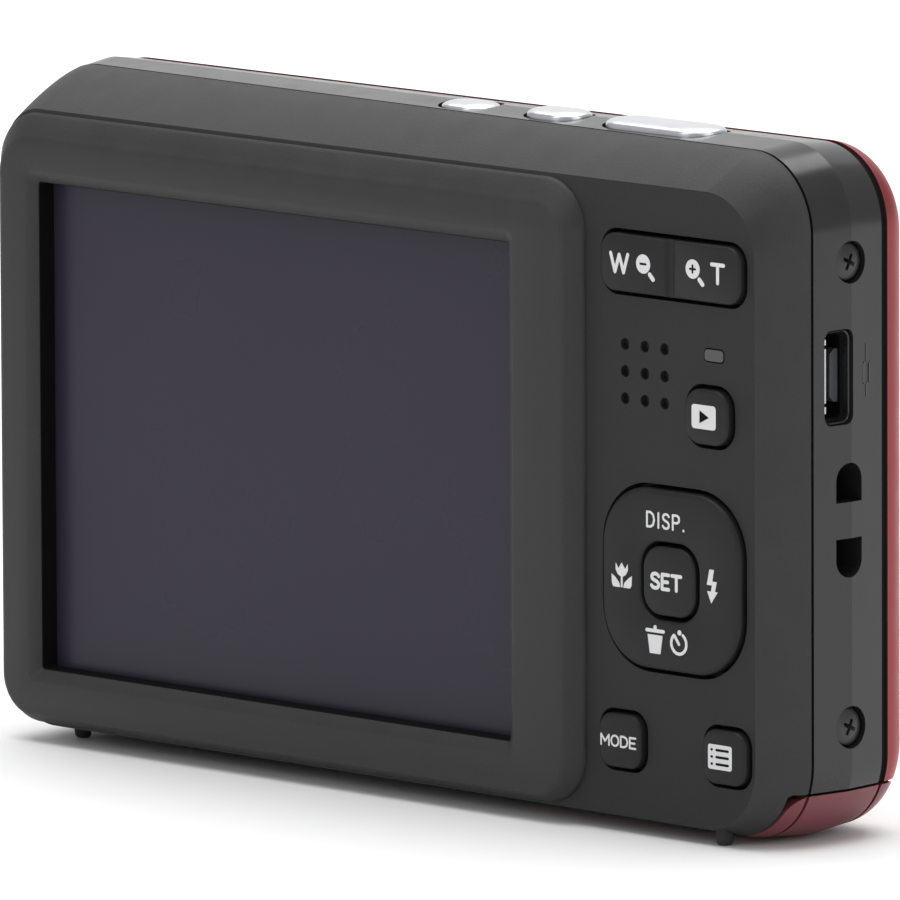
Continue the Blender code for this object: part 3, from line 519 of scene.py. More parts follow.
def front_ring(degrees, extra=0.0, back=FRONT_FACE, shift=0.0):
    """A ring of the front's rounded edge, from its seam (0) to its flat face (90)."""
    angle = math.radians(degrees)
    draw = (FRONT_DRAW - extra) * (1 - math.cos(angle))
    depth = FRONT_SEAM + (back - FRONT_SEAM) * math.sin(angle) + shift
    return at_depth(casing_outline([draw] * 4, extra), depth)


def ridge_ring(extra=0.0):
    """The slight ridge along the middle of the frame."""
    return at_depth(casing_outline([-RIDGE] * 4, extra), lambda x: (rear_seam(x) + FRONT_SEAM) / 2)


REAR_SHARES = [step / 16 for step in range(17)]
FRONT_ANGLES = [step * 5 for step in range(19)]


def add_hull(mesh, extra=0.0):
    """The whole casing as one body, drawn in by an extra wall."""
    rings = [rear_ring(share, extra) for share in REAR_SHARES]
    rings.append(ridge_ring(extra))
    rings += [front_ring(angle, extra) for angle in FRONT_ANGLES]
    add_loft(mesh, rings)


def door_region(name, grow):
    """The space of the battery door, wrapped round the lower grip corner. A grown one is its opening."""
    low_y, high_y = DOOR_Y[0] - grow, DOOR_Y[1] + grow
    hinge = (HINGE_X, HINGE_Z)
    edge_x, top = (LIP_X, LIP_Z) if grow else (HINGE_X, DOOR_TOP)
    region = solid(name, lambda m: add_box(m, (-60, low_y, -6), (DOOR_END_X + grow, high_y, HINGE_Z)))
    edge = solid(name + "_edge", lambda m: add_box(m, (-58, low_y, -5), (edge_x, high_y, top)))
    steps = [("UNION", edge)]
    if not grow:
        knuckle = [(KNUCKLE, low_y), (KNUCKLE, high_y)]
        steps.append(("UNION", solid(name + "_knuckle", lambda m: add_turned(m, knuckle, "Y", hinge, 48))))
    side = rounded_rect(low_y, high_y, -6.5, top, 1.5, 10)
    outline = solid(name + "_outline", lambda m: add_prism(m, side, "X", -59, DOOR_END_X + grow + 1))
    steps.append(("INTERSECT", outline))
    if grow:
        hollow = solid(name + "_hollow", lambda m: add_turned(m, HINGE_HOLLOW, "Y", hinge, 64))
        steps.append(("UNION", hollow))
    return shaped(region, *steps)


def make_rear_cover():
    def shell(mesh):
        rings = [rear_ring(share) for share in REAR_SHARES[:-1]]
        rings.append(rear_ring(1.0, 0.0, SEAM_GAP_REAR / 2))
        rings.append(rear_ring(1.0, WALL, SEAM_GAP_REAR / 2))
        rings.append(rear_ring(0.75, WALL))
        rings.append(at_depth(casing_outline([d * 0.6 for d in REAR_DRAW], WALL), PANEL_BACK))
        add_loft(mesh, rings)

    def bump(mesh):
        """The raised screen surround: a flat face with a soft chamfer all round."""
        levels = (
            (PANEL_BACK + 0.1, 0.8, 0.45, 2.0, 1.2),
            (PANEL - 0.15, 1.1, 0.75, 2.0, 1.2),
            (PANEL + 0.1, 0.97, 0.71, 1.9, 1.13),
            (PANEL + 0.35, 0.85, 0.62, 1.65, 1.0),
            (SCREEN_FACE - 0.55, 0.3, 0.2, 0.6, 0.35),
            (SCREEN_FACE - 0.25, 0.08, 0.04, 0.12, 0.06),
            (SCREEN_FACE - 0.08, -0.12, -0.12, -0.14, -0.14),
            (SCREEN_FACE, -0.42, -0.42, -0.42, -0.42),
        )
        rings = []
        for depth, far, base, top, grip in levels:
            outline = rounded_rect(
                BUMP_X[0] - grip, BUMP_X[1] + far, BUMP_Z[0] - base, BUMP_Z[1] + top, 3.4 + top / 2, 16
            )
            rings.append(at_depth(outline, depth))
        add_loft(mesh, rings)

    def openings(mesh):
        rings = []
        for depth, grow in (
            (PANEL_BACK - 1, 0),
            (SCREEN_FACE - 0.7, 0),
            (SCREEN_FACE - 0.6, 0.06),
            (SCREEN_FACE - 0.15, 0.7),
            (SCREEN_FACE - 0.03, 0.95),
            (SCREEN_FACE + 0.1, 1.6),
        ):
            low_x, high_x = SCREEN_X[0] - grow, SCREEN_X[1] + grow
            low_z, high_z = SCREEN_Z[0] - grow, SCREEN_Z[1] + grow
            outline = rounded_rect(low_x, high_x, low_z, high_z, 0.3 + grow / 2, 8)
            rings.append(at_depth(outline, depth))
        add_loft(mesh, rings)
        for key in (ROCKER, PLAY, PAD, MODE, MENU):
            add_prism(mesh, key_outline(key, KEY_GAP), "Y", PANEL_BACK - 1, PANEL + 1)
        add_prism(mesh, key_outline(INDICATOR, 0.12, 5), "Y", PANEL_BACK - 1, PANEL + 1)
        for x in SPEAKER_X:
            for z in SPEAKER_Z:
                add_prism(mesh, disc(x, z, SPEAKER_HOLE, 20), "Y", PANEL_BACK - 1, PANEL + 1)
        add_turned(mesh, [(BUSH + CLEAR, -2), (BUSH + CLEAR, 4)], "Z", (BUSH_X, BUSH_Y), 48)
        for place in REAR_FEET:
            add_prism(mesh, disc(*place, FOOT + FOOT_SEAT, 20), "Z", -1, BASE + 1.7)

    cover = solid("rear_cover_skin", shell)
    shaped(
        cover,
        ("UNION", solid("surround", bump)),
        ("DIFFERENCE", solid("openings", openings)),
        ("DIFFERENCE", door_region("opening", CLEAR)),
    )
    piece(cover, PLASTIC, nodes=["rear_cover"], edge=0.07)
    # The control panel's flat faces take the darker copy of the plastic: painted shade.
    cover.data.materials.append(PANEL_SHADE_PLASTIC)
    for face in cover.data.polygons:
        centre = face.center / MM
        if centre.x < BUMP_X[0] - 1.3 and abs(centre.y - PANEL) < 0.02:
            face.material_index = 1

    def dimples(mesh):
        """The speaker holes end in a floor just below the surface."""
        for x in SPEAKER_X:
            for z in SPEAKER_Z:
                floor = disc(x, z, SPEAKER_HOLE - 0.01, 20)
                add_prism(mesh, floor, "Y", PANEL - DIMPLE_DEPTH - 0.2, PANEL - DIMPLE_DEPTH)

    # The dimple floors take the same darker copy of the plastic: painted shade.
    piece(solid("speaker_dimples", dimples), PANEL_SHADE_PLASTIC)


def make_frame_band():
    def band(mesh):
        rear = -SEAM_GAP_REAR / 2
        front = FRONT_SEAM + SEAM_GAP_FRONT / 2
        rings = [rear_ring(1.0, 0.0, rear), ridge_ring(), at_depth(casing_outline([0] * 4), front)]
        lip = front - SEAM_GAP_FRONT - LIP_REACH
        for wall, depth in ((LIP_OUTSIDE, front), (LIP_OUTSIDE, lip), (FRAME_WALL, lip)):
            rings.append(at_depth(casing_outline([0] * 4, wall), depth))
        lip = rear + SEAM_GAP_REAR + LIP_REACH
        for wall, shift in ((FRAME_WALL, lip), (LIP_OUTSIDE, lip), (LIP_OUTSIDE, rear)):
            rings.append(rear_ring(1.0, wall, shift))
        add_loft(mesh, rings, True)

    def joined(mesh):
        add_box(mesh, (-44.6, -0.1, STRAP_Z - 5.6), (-42.3, 3.9, STRAP_Z + 5.6))

    def web(mesh):
        add_box(mesh, (BUSH_X - BUSH - 2, FRONT_SEAM + 0.3, 2.0), (BUSH_X + BUSH + 2, 3.6, 4.2))

    def boss(mesh):
        add_turned(mesh, [(BUSH + 0.9, 3.8), (BUSH + 0.9, 6.2)], "Z", (BUSH_X, BUSH_Y), 48)

    def openings(mesh):
        for x, length, width, _ in (POWER, VIDEO, SHUTTER):
            half = length / 2 + CLEAR
            side = width / 2 + CLEAR
            outline = rounded_rect(x - half, x + half, TOP_ROW_Y - side, TOP_ROW_Y + side, side - 0.05, 16)
            add_prism(mesh, outline, "Z", TOP - 4, TOP + 2)
        mouth = centred((USB_Y, USB_Z), USB_MOUTH, 0.0, 0.8, 8)
        add_prism(mesh, mouth, "X", -50, -43)
        for side in (-1, 1):
            for z in SIDE_SCREW_Z:
                seat = [(SCREW_HEAD + 0.22, 50), (SCREW_HEAD + 0.22, 44.9), (1.0, 44.85), (1.0, 43)]
                profile = [(radius, side * along) for radius, along in seat]
                add_turned(mesh, profile, "X", (SIDE_SCREW_Y[side], z), 40)
        add_turned(mesh, [(BUSH + CLEAR, -2), (BUSH + CLEAR, 8)], "Z", (BUSH_X, BUSH_Y), 48)

    def strap_slot(mesh):
        mouth = centred((STRAP_Y, STRAP_Z), STRAP_MOUTH, 0.0, 1.49, 14)
        add_prism(mesh, mouth, "X", -48, -42.8)

    def strap_bar(mesh):
        low = (-46.6, STRAP_Y - 1.8, STRAP_Z - STRAP_BAR)
        add_box(mesh, low, (-44.7, STRAP_Y + 1.8, STRAP_Z + STRAP_BAR))

    slot = shaped(solid("slot", strap_slot), ("DIFFERENCE", solid("bar", strap_bar)))
    obj = shaped(
        solid("frame_band", band),
        ("UNION", solid("joined", joined)),
        ("UNION", solid("web", web)),
        ("UNION", solid("boss", boss)),
        ("DIFFERENCE", slot),
        ("DIFFERENCE", solid("holes", openings)),
        ("DIFFERENCE", door_region("opening", CLEAR)),
    )
    piece(obj, BAND, nodes=["mid_frame"], sharp=8.0)
    round_edges(obj, 0.09, 40, False)

    def pocket(mesh):
        """A near-black sheet over the plastic bottom of the strap slot: painted shade."""
        add_box(mesh, (-43.0, STRAP_Y - 1.45, STRAP_Z - 4.6), (-42.85, STRAP_Y + 1.45, STRAP_Z + 4.6))

    piece(solid("strap_slot_painted_shade", pocket), BLACK_PRINT_AND_SHADE)


def make_front_cover():
    def shell(mesh):
        rings = [front_ring(angle) for angle in reversed(FRONT_ANGLES[1:])]
        rings.append(front_ring(0, shift=-SEAM_GAP_FRONT / 2))
        rings.append(front_ring(0, WALL, FRONT_BACK, -SEAM_GAP_FRONT / 2))
        rings += [front_ring(angle, WALL, FRONT_BACK) for angle in FRONT_ANGLES[2::2]]
        add_loft(mesh, rings)

    def openings(mesh):
        add_turned(mesh, [(LENS_OPENING, -9), (LENS_OPENING, -5)], "Y", (LENS_X, LENS_Z), LENS_STEPS)
        add_prism(mesh, key_outline(FLASH, 0.15), "Y", -9, -5)
        add_prism(mesh, disc(AF_X, AF_Z, AF_OPENING, 40), "Y", -9, -5)
        add_prism(mesh, disc(MIC_X, MIC_Z, MIC_OPENING, 20), "Y", -9, -5)
        add_turned(mesh, [(BUSH + CLEAR, -2), (BUSH + CLEAR, 4)], "Z", (BUSH_X, BUSH_Y), 48)
        for place in FRONT_FEET:
            add_prism(mesh, disc(*place, FOOT + FOOT_SEAT, 20), "Z", -1, BASE + 1.7)

    cover = shaped(
        solid("front_cover_skin", shell),
        ("DIFFERENCE", solid("holes", openings)),
        ("DIFFERENCE", door_region("opening", CLEAR)),
    )
    piece(cover, RED, nodes=["front_cover"], edge=0.08)

    def gap(mesh):
        """A near-black sheet at the bottom of the line between the frame and the front cover: painted
        shade in the seam.
        """
        front = FRONT_SEAM - SEAM_GAP_FRONT / 2 + 0.02
        rear = FRONT_SEAM + SEAM_GAP_FRONT / 2 - 0.02
        section = ((0.2, rear), (0.2, front), (0.5, front), (0.5, rear))
        rings = [at_depth(casing_outline([0] * 4, inset), depth) for inset, depth in section]
        add_loft(mesh, rings, True)

    line = shaped(solid("front_seam_painted_shade", gap), ("DIFFERENCE", door_region("opening", CLEAR)))
    piece(line, BLACK_PRINT_AND_SHADE)


def make_door():
    hinge = (HINGE_X, HINGE_Z)

    def pin_hole(mesh):
        add_turned(mesh, [(0.55, -3.8), (0.55, 6.8)], "Y", hinge, 32)

    def pin_gap(mesh):
        """The gap in the knuckle where the carrier holds the pin."""
        add_turned(mesh, [(0.96, -1.5), (0.96, 3.7)], "Y", hinge, 36)

    def bead(mesh):
        add_turned(mesh, [(BEAD, -20), (BEAD, 20)], "Y", hinge, 40)

    def groove_corners(half):
        return ((-1.0, -half), (-1.0, half), (GROOVE_DEPTH, half), (GROOVE_DEPTH, -half))

    def rear_groove(mesh):
        """The line that carries the rear seam on across the door."""
        corners = groove_corners(SEAM_GAP_REAR / 2)
        add_loft(mesh, [rear_ring(1.0, wall, shift) for wall, shift in corners], True)

    def front_groove(mesh):
        """The line that carries the front seam on across the door."""
        corners = groove_corners(SEAM_GAP_FRONT / 4)
        rings = [at_depth(casing_outline([0] * 4, wall), FRONT_SEAM + shift) for wall, shift in corners]
        add_loft(mesh, rings, True)

    inside = shaped(
        solid("inside", lambda m: add_hull(m, DOOR_WALL)),
        ("DIFFERENCE", solid("bead", bead)),
    )
    door = shaped(
        solid("battery_door_skin", add_hull),
        ("INTERSECT", door_region("space", 0.0)),
        ("DIFFERENCE", inside),
        ("DIFFERENCE", solid("pin_hole", pin_hole)),
        ("DIFFERENCE", solid("gap", pin_gap)),
        ("DIFFERENCE", solid("rear_groove", rear_groove)),
        ("DIFFERENCE", solid("front_groove", front_groove)),
    )
    piece(door, DOOR_RED, "battery_door", ["battery_door"], edge=0.08)


# Keys and their printed signs


def add_key(mesh, key, face, back=KEY_BACK, flange=FLANGE, steps=12):
    """A key cap with a soft rim and a very slightly raised middle."""
    levels = (
        (flange, back),
        (flange, back + FLANGE_DEPTH),
        (0.0, back + FLANGE_DEPTH),
        (0.0, face - 0.26),
        (-0.02, face - 0.17),
        (-0.07, face - 0.09),
        (-0.16, face - 0.03),
        (-0.28, face),
    )
    add_loft(mesh, [at_depth(key_outline(key, grow, steps), depth) for grow, depth in levels])


class Sign:
    """Printed shapes on a key. Places are to the right and up from its centre, seen from behind."""

    def __init__(self, name, body, centre, face, material, thick=0.015):
        self.name, self.body, self.material = name, body, material
        self.x, self.z = centre
        self.face, self.thick = face, thick
        self.mesh = bmesh.new()

    def fill(self, points):
        ring = [(self.x - right, self.z + up) for right, up in points]
        add_prism(self.mesh, ring, "Y", self.face - 0.05, self.face + self.thick)
        self.thick += 0.0006

    def stroke(self, points, width):
        """A line of even width with round ends and corners."""
        for (r1, u1), (r2, u2) in zip(points, points[1:]):
            angle = math.atan2(u2 - u1, r2 - r1)
            outline = []
            for (r, u), start in (((r1, u1), 90), ((r2, u2), -90)):
                for step in range(7):
                    turn = angle + math.radians(start + 30 * step)
                    outline.append((r + width / 2 * math.cos(turn), u + width / 2 * math.sin(turn)))
            self.fill(outline)

    def write(self, text, centre, height, widths, gap, stroke):
        """Letters from LETTERS, centred."""
        total = sum(widths[letter] for letter in text) * height + gap * height * (len(text) - 1)
        right = centre[0] - total / 2
        for letter in text:
            wide = widths[letter] * height
            for line in LETTERS[letter]:
                points = [(right + a * wide, centre[1] + (b - 0.5) * height) for a, b in line]
                self.stroke(points, stroke)
            right += wide + gap * height

    def done(self):
        piece(filled(self.name, self.mesh), self.material, self.body)


S_CURVE = (
    (0.96, 0.84), (0.8, 0.96), (0.5, 1.0), (0.2, 0.95), (0.04, 0.8), (0.1, 0.64), (0.4, 0.54),
    (0.75, 0.46), (0.96, 0.32), (0.95, 0.16), (0.78, 0.04), (0.5, 0.0), (0.2, 0.04), (0.02, 0.16),
)
RING_CURVE = tuple(
    (0.5 + 0.5 * math.cos(a * math.pi / 8), 0.5 + 0.5 * math.sin(a * math.pi / 8)) for a in range(17)
)
LETTERS = {
    "W": (((0, 1), (0.25, 0), (0.5, 0.95), (0.75, 0), (1, 1)),),
    "T": (((0, 1), (1, 1)), ((0.5, 1), (0.5, 0))),
    "S": (S_CURVE,),
    "E": (((1, 1), (0, 1), (0, 0), (1, 0)), ((0, 0.5), (0.85, 0.5))),
    "D": (((0, 0), (0, 1), (0.5, 1), (0.85, 0.85), (1, 0.5), (0.85, 0.15), (0.5, 0), (0, 0)),),
    "I": (((0.5, 0), (0.5, 1)),),
    "P": (((0, 0), (0, 1), (0.65, 1), (0.95, 0.9), (1, 0.74), (0.95, 0.58), (0.65, 0.48), (0, 0.48)),),
    "M": (((0, 0), (0, 1), (0.5, 0.35), (1, 1), (1, 0)),),
    "O": (RING_CURVE,),
    ".": (((0.5, 0), (0.5, 0.03)),),
}


def make_keys():
    for name, key, node in (
        ("play_cap", PLAY, "play_button"),
        ("mode_cap", MODE, "mode_button"),
        ("menu_cap", MENU, "menu_button"),
    ):
        piece(solid(name, lambda m: add_key(m, key, KEY_FACE)), KEYCAP, node, [node], 40)
    cap = solid("set_cap", lambda m: add_key(m, SET, KEY_FACE + 0.1, KEY_BACK, 0.1, 12))
    piece(cap, KEYCAP, "set_button", ["set_button"], 40)

    def pad(mesh):
        outer = (
            (FLANGE, KEY_BACK),
            (FLANGE, KEY_BACK + FLANGE_DEPTH),
            (0.0, KEY_BACK + FLANGE_DEPTH),
            (0.0, KEY_FACE - 0.38),
            (-0.03, KEY_FACE - 0.26),
            (-0.1, KEY_FACE - 0.14),
            (-0.24, KEY_FACE - 0.05),
            (-0.5, KEY_FACE),
        )
        inner = (
            (KEY_GAP + 0.3, KEY_FACE),
            (KEY_GAP + 0.1, KEY_FACE - 0.05),
            (KEY_GAP, KEY_FACE - 0.17),
            (KEY_GAP, KEY_BACK),
        )
        rings = [at_depth(key_outline(PAD, grow, 14), depth) for grow, depth in outer]
        rings += [at_depth(key_outline(SET, grow, 14), depth) for grow, depth in inner]
        add_loft(mesh, rings, True)

    piece(solid("pad_cap", pad), KEYCAP, "four_way_pad", ["four_way_pad"], 40)

    x, z, _, height, _ = ROCKER

    def groove(mesh):
        """A shallow valley across the middle of the rocker."""
        half = [(0.25, -0.28), (0.5, -0.1), (0.75, 0.02), (0.75, 1.0)]
        section = [(-a, b) for a, b in reversed(half)] + half
        outline = [(x + a, KEY_FACE + b) for a, b in section]
        add_prism(mesh, outline, "Z", z - height, z + height)

    rocker = solid("rocker_cap", lambda m: add_key(m, ROCKER, KEY_FACE))
    shaped(rocker, ("DIFFERENCE", solid("groove", groove)))
    piece(rocker, KEYCAP, "zoom_rocker", ["zoom_rocker"], 40)


def make_signs():
    sign = Sign("rocker_signs", "zoom_rocker", ROCKER[:2], KEY_FACE, PRINT)
    sign.write("W", (-5.7, -0.02), 1.5, {"W": 1.3}, 0, 0.33)
    sign.write("T", (5.48, 0.08), 1.5, {"T": 0.9}, 0, 0.33)
    marks = Sign("rocker_marks", "zoom_rocker", ROCKER[:2], KEY_FACE + 0.03, BLACK_PRINT_AND_SHADE)
    for right, up in ((-2.97, 0.13), (2.66, 0.24)):
        sign.fill(disc(right, up, 0.8, 32))
        sign.stroke([(right + 0.75, up - 0.82), (right + 1.12, up - 1.18)], 0.4)
        marks.stroke([(right - 0.3, up), (right + 0.3, up)], 0.17)
    marks.stroke([(2.66, -0.06), (2.66, 0.54)], 0.17)
    sign.done()
    marks.done()

    sign = Sign("play_sign", "play_button", PLAY[:2], KEY_FACE, PRINT)
    sign.fill(rounded_rect(-1.6, 1.13, -0.98, 1.02, 0.3, 5))
    sign.done()
    marks = Sign("play_mark", "play_button", PLAY[:2], KEY_FACE + 0.03, BLACK_PRINT_AND_SHADE)
    marks.fill([(-0.68, -0.5), (0.36, 0.02), (-0.68, 0.54)])
    marks.done()

    sign = Sign("set_sign", "set_button", SET[:2], KEY_FACE + 0.1, PRINT)
    sign.write("SET", (-0.25, -0.02), 1.2, {"S": 0.72, "E": 0.62, "T": 0.85}, 0.3, 0.31)
    sign.done()

    sign = Sign("mode_sign", "mode_button", MODE[:2], KEY_FACE, PRINT)
    sign.write("MODE", (-0.12, -0.03), 0.86, {"M": 1.05, "O": 0.98, "D": 0.9, "E": 0.75}, 0.3, 0.17)
    sign.done()

    sign = Sign("menu_sign", "menu_button", MENU[:2], KEY_FACE, PRINT)
    sign.fill(rounded_rect(-1.72, 0.97, -1.02, 1.04, 0.22, 5))
    sign.done()
    marks = Sign("menu_marks", "menu_button", MENU[:2], KEY_FACE + 0.03, BLACK_PRINT_AND_SHADE)
    for row in (-0.58, 0.01, 0.6):
        marks.stroke([(-1.32, row), (-1.25, row)], 0.2)
        marks.stroke([(-0.75, row), (0.55, row)], 0.2)
    marks.done()

    sign = Sign("pad_signs", "four_way_pad", PAD[:2], KEY_FACE, PRINT)
    sign.write("DISP.", (-0.5, 4.95), 1.2, {"D": 0.68, "I": 0.1, "S": 0.6, "P": 0.6, ".": 0.1}, 0.36, 0.2)
    # Close-up flower: a cup with three tips, a stem and two leaves
    right, up = -5.5, -0.1
    cup = [(-0.68, 1.05), (-0.38, 0.6), (0, 1.12), (0.38, 0.6), (0.68, 1.05), (0.7, 0.5)]
    cup += [(0.45, 0.12), (0.12, -0.05), (-0.12, -0.05), (-0.45, 0.12), (-0.7, 0.5)]
    sign.fill([(right + a, up + b) for a, b in cup])
    sign.stroke([(right, up), (right, up - 0.85)], 0.2)
    for side in (-1, 1):
        leaf = [(0.18, -0.95), (0.95, -0.95), (1.12, -0.7), (1.16, 0.1), (0.75, -0.15), (0.3, -0.55)]
        sign.fill([(right + side * a, up + b) for a, b in leaf])
    # Flash bolt with an arrow's tip
    right, up = 4.7, 0.1
    bolt = [(-0.2, 1.4), (0.3, 1.4), (0.12, 0.42), (0.62, 0.42), (0.42, -0.42), (0.72, -0.42), (0.0, -1.4)]
    bolt += [(-0.46, -0.42), (-0.02, -0.42), (0.08, 0.1), (-0.5, 0.1)]
    sign.fill([(right + a, up + b) for a, b in bolt])
    # Bin
    right, up = -1.7, -5.0
    sign.stroke([(right - 0.95, up + 0.75), (right + 0.95, up + 0.75)], 0.3)
    sign.stroke([(right, up + 0.9), (right, up + 1.05)], 0.34)
    bin_body = [(-0.85, 0.4), (0.85, 0.4), (0.6, -1.15), (-0.6, -1.15)]
    sign.fill([(right + a, up + b) for a, b in bin_body])
    # Self-timer dial
    right, up = 1.0, -5.05
    arc = [math.radians(58 - 20.5 * step) for step in range(15)]
    sign.stroke([(right + 0.86 * math.cos(a), up + 0.86 * math.sin(a)) for a in arc], 0.26)
    sign.stroke([(right - 0.48, up + 0.62), (right + 0.02, up - 0.05)], 0.26)
    sign.fill(disc(right + 0.08, up + 0.92, 0.22, 20))
    sign.done()


# Screen, top buttons, side and base


def make_screen():
    low_x, high_x = SCREEN_X
    low_z, high_z = SCREEN_Z
    outline = rounded_rect(low_x + 0.05, high_x - 0.05, low_z + 0.05, high_z - 0.05, 0.3, 6)
    pane = solid("screen_pane", lambda m: add_prism(m, outline, "Y", PANE_BACK, PANE_FRONT))
    piece(pane, SCREEN, nodes=["screen_window"], edge=0.05)

    def walls(mesh):
        """A thin near-black sheet on the walls round the screen's recess: painted shade."""
        rings = []
        for inset, depth in (
            (0.0, PANE_BACK),
            (0.0, SCREEN_FACE - 0.72),
            (0.06, SCREEN_FACE - 0.74),
            (0.06, PANE_BACK),
        ):
            shade_outline = rounded_rect(low_x + inset, high_x - inset, low_z + inset, high_z - inset, 0.3, 8)
            rings.append(at_depth(shade_outline, depth))
        add_loft(mesh, rings, True)

    piece(solid("screen_wall_painted_shade", walls), BLACK_PRINT_AND_SHADE)


def make_top_buttons():
    for name, (x, length, width, rise) in zip(
        ("power_button", "video_button", "shutter_button"), (POWER, VIDEO, SHUTTER)
    ):
        levels = [(0.5, TOP - 3.3), (0.5, TOP - 2.8), (0.0, TOP - 2.8), (0.0, TOP + rise - 0.55)]
        for step in range(1, 10):
            angle = math.radians(10 * step)
            levels.append((-1.5 * (1 - math.cos(angle)), TOP + rise - 0.55 + 0.55 * math.sin(angle)))

        def button(mesh):
            rings = []
            for grow, height in levels:
                half = length / 2 + grow
                side = width / 2 + grow
                outline = rounded_rect(
                    x - half, x + half, TOP_ROW_Y - side, TOP_ROW_Y + side, max(side - 0.05, 0.3), 16
                )
                rings.append(placed(outline, "Z", height))
            add_loft(mesh, rings)

        piece(solid(name + "_cap", button), SILVER, name, [name], 40)


def make_screws():
    for side, word in ((-1, "grip"), (1, "far")):
        for z, level in zip(SIDE_SCREW_Z, ("lower", "upper")):
            y = SIDE_SCREW_Y[side]
            profile = [(0.8, 40.6), (0.8, 45.1), (1.5, 45.1), (SCREW_HEAD, 45.2), (SCREW_HEAD, 45.55)]
            profile += [(1.5, 45.64), (1.3, 45.72), (0.8, 45.84), (0.2, 45.9)]

            def head(mesh):
                add_turned(mesh, [(r, side * a) for r, a in profile], "X", (y, z), 48)

            def recess(mesh):
                """A cross that narrows as it goes in, turned a little."""
                turn = math.radians(25)
                rings = []
                for depth, long, wide in ((45.2, 0.3, 0.1), (46.2, 0.95, 0.2)):
                    cross = []
                    for arm in range(4):
                        angle = turn + arm * math.pi / 2
                        for a, b in ((long, -wide), (long, wide), (wide, wide)):
                            turned_y = y + a * math.cos(angle) - b * math.sin(angle)
                            turned_z = z + a * math.sin(angle) + b * math.cos(angle)
                            cross.append((turned_y, turned_z))
                    rings.append(placed(cross, "X", side * depth))
                add_loft(mesh, rings)

            obj = solid(f"screw_{word}_{level}_detail", head)
            shaped(obj, ("DIFFERENCE", solid("cross", recess)))
            piece(obj, SCREWS, nodes=[f"screw_{word}_{level}"], sharp=35)


def make_connector():
    def rim(mesh):
        rings = []
        for grow, along in ((0.0, -44.2), (0.0, -45.72), (0.1, -45.8), (0.2, -45.72), (0.2, -44.2)):
            outline = centred((USB_Y, USB_Z), USB_RIM, grow, USB_CORNER + grow, 8)
            rings.append(placed(outline, "X", along))
        add_loft(mesh, rings, True)

    piece(solid("usb_rim", rim), BAND)

    def shell(mesh):
        rings = []
        for grow, along in ((-0.3, -40.9), (-0.3, -45.0), (-0.15, -45.2), (0.0, -45.15), (0.0, -40.4)):
            outline = centred((USB_Y, USB_Z), USB_SHELL, grow, USB_CORNER + grow, 8)
            rings.append(placed(outline, "X", along))
        add_loft(mesh, rings)

    piece(solid("usb_shell_detail", shell), BLACK_PRINT_AND_SHADE, nodes=["usb_shell"])

    def blade(mesh):
        outline = [(0.3, -3.1), (1.2, -3.1), (1.2, 3.1), (0.3, 3.1)]
        section = [(USB_Y + a, USB_Z + b) for a, b in outline]
        add_prism(mesh, section, "X", -44.9, -41.2)

    def notches(mesh):
        for up in (-2.35, 2.45):
            add_box(mesh, (-46, USB_Y + 0.2, USB_Z + up - 0.12), (-44.6, USB_Y + 1.3, USB_Z + up + 0.12))

    strip = shaped(solid("usb_strip", blade), ("DIFFERENCE", solid("notches", notches)))
    piece(strip, STEEL, nodes=["usb_tongue"], edge=0.05)

    def tongue(mesh):
        """The keyed insulator opposite the contacts."""
        outline = [(-1.2, -2.2), (-0.75, -2.2), (-0.25, -1.75), (-0.25, 1.75), (-0.75, 2.2), (-1.2, 2.2)]
        add_prism(mesh, [(USB_Y + a, USB_Z + b) for a, b in outline], "X", -44.75, -41.4)

    piece(solid("usb_insulator", tongue), INNER, edge=0.04)

    def plug(mesh):
        """A plain plug sign beside the connector: a rectangle with a lead."""
        x, y, z = PLUG_SIGN
        strokes = (
            ((-0.35, -1.0), (0.35, -1.0), (0.35, 0.7), (-0.35, 0.7), (-0.35, -1.0)),
            ((0, 0.7), (0, 2.2)),
            ((0, -1.0), (0, -2.1)),
        )
        for line in strokes:
            for (a1, b1), (a2, b2) in zip(line, line[1:]):
                low_a, high_a = min(a1, a2) - PLUG_LINE, max(a1, a2) + PLUG_LINE
                low_b, high_b = min(b1, b2) - PLUG_LINE, max(b1, b2) + PLUG_LINE
                add_box(mesh, (x - 0.01, y + low_a, z + low_b), (x + 0.3, y + high_a, z + high_b))

    piece(solid("plug_sign", plug), FAINT)


def make_bush():
    def bush(mesh):
        """A cup with a rolled edge and threads cut into its wall."""
        profile = [(0.3, 6.28), (2.6, 6.28), (BUSH_BORE, 6.1)]
        height = 5.6
        while height > 1.5:
            profile += [(BUSH_BORE, height + 0.12), (BUSH_THREAD, height), (BUSH_BORE, height - 0.12)]
            height -= THREAD_PITCH
        profile += [(BUSH_BORE, 1.1), (3.05, 0.68), (3.15, 0.6), (BUSH - 0.15, 0.6), (BUSH, 0.75)]
        profile += [(BUSH, 7.2), (0.3, 7.2)]
        add_turned(mesh, profile, "Z", (BUSH_X, BUSH_Y), 64, True)

    piece(solid("tripod_bush_detail", bush), STEEL, nodes=["tripod_bush"])


def make_feet():
    places = {
        "foot_rear_far": REAR_FEET[0],
        "foot_rear_grip": REAR_FEET[1],
        "foot_front_far": FRONT_FEET[0],
        "foot_front_grip": FRONT_FEET[1],
    }
    profile = [(FOOT * 0.5, 0.0), (FOOT * 0.72, 0.05), (FOOT * 0.9, 0.2), (FOOT, 0.55), (FOOT, BASE + 1.4)]
    for name, place in places.items():
        obj = solid(name + "_detail", lambda m: add_turned(m, profile, "Z", place, 28))
        piece(obj, RUBBER, nodes=[name])


# Lens and front


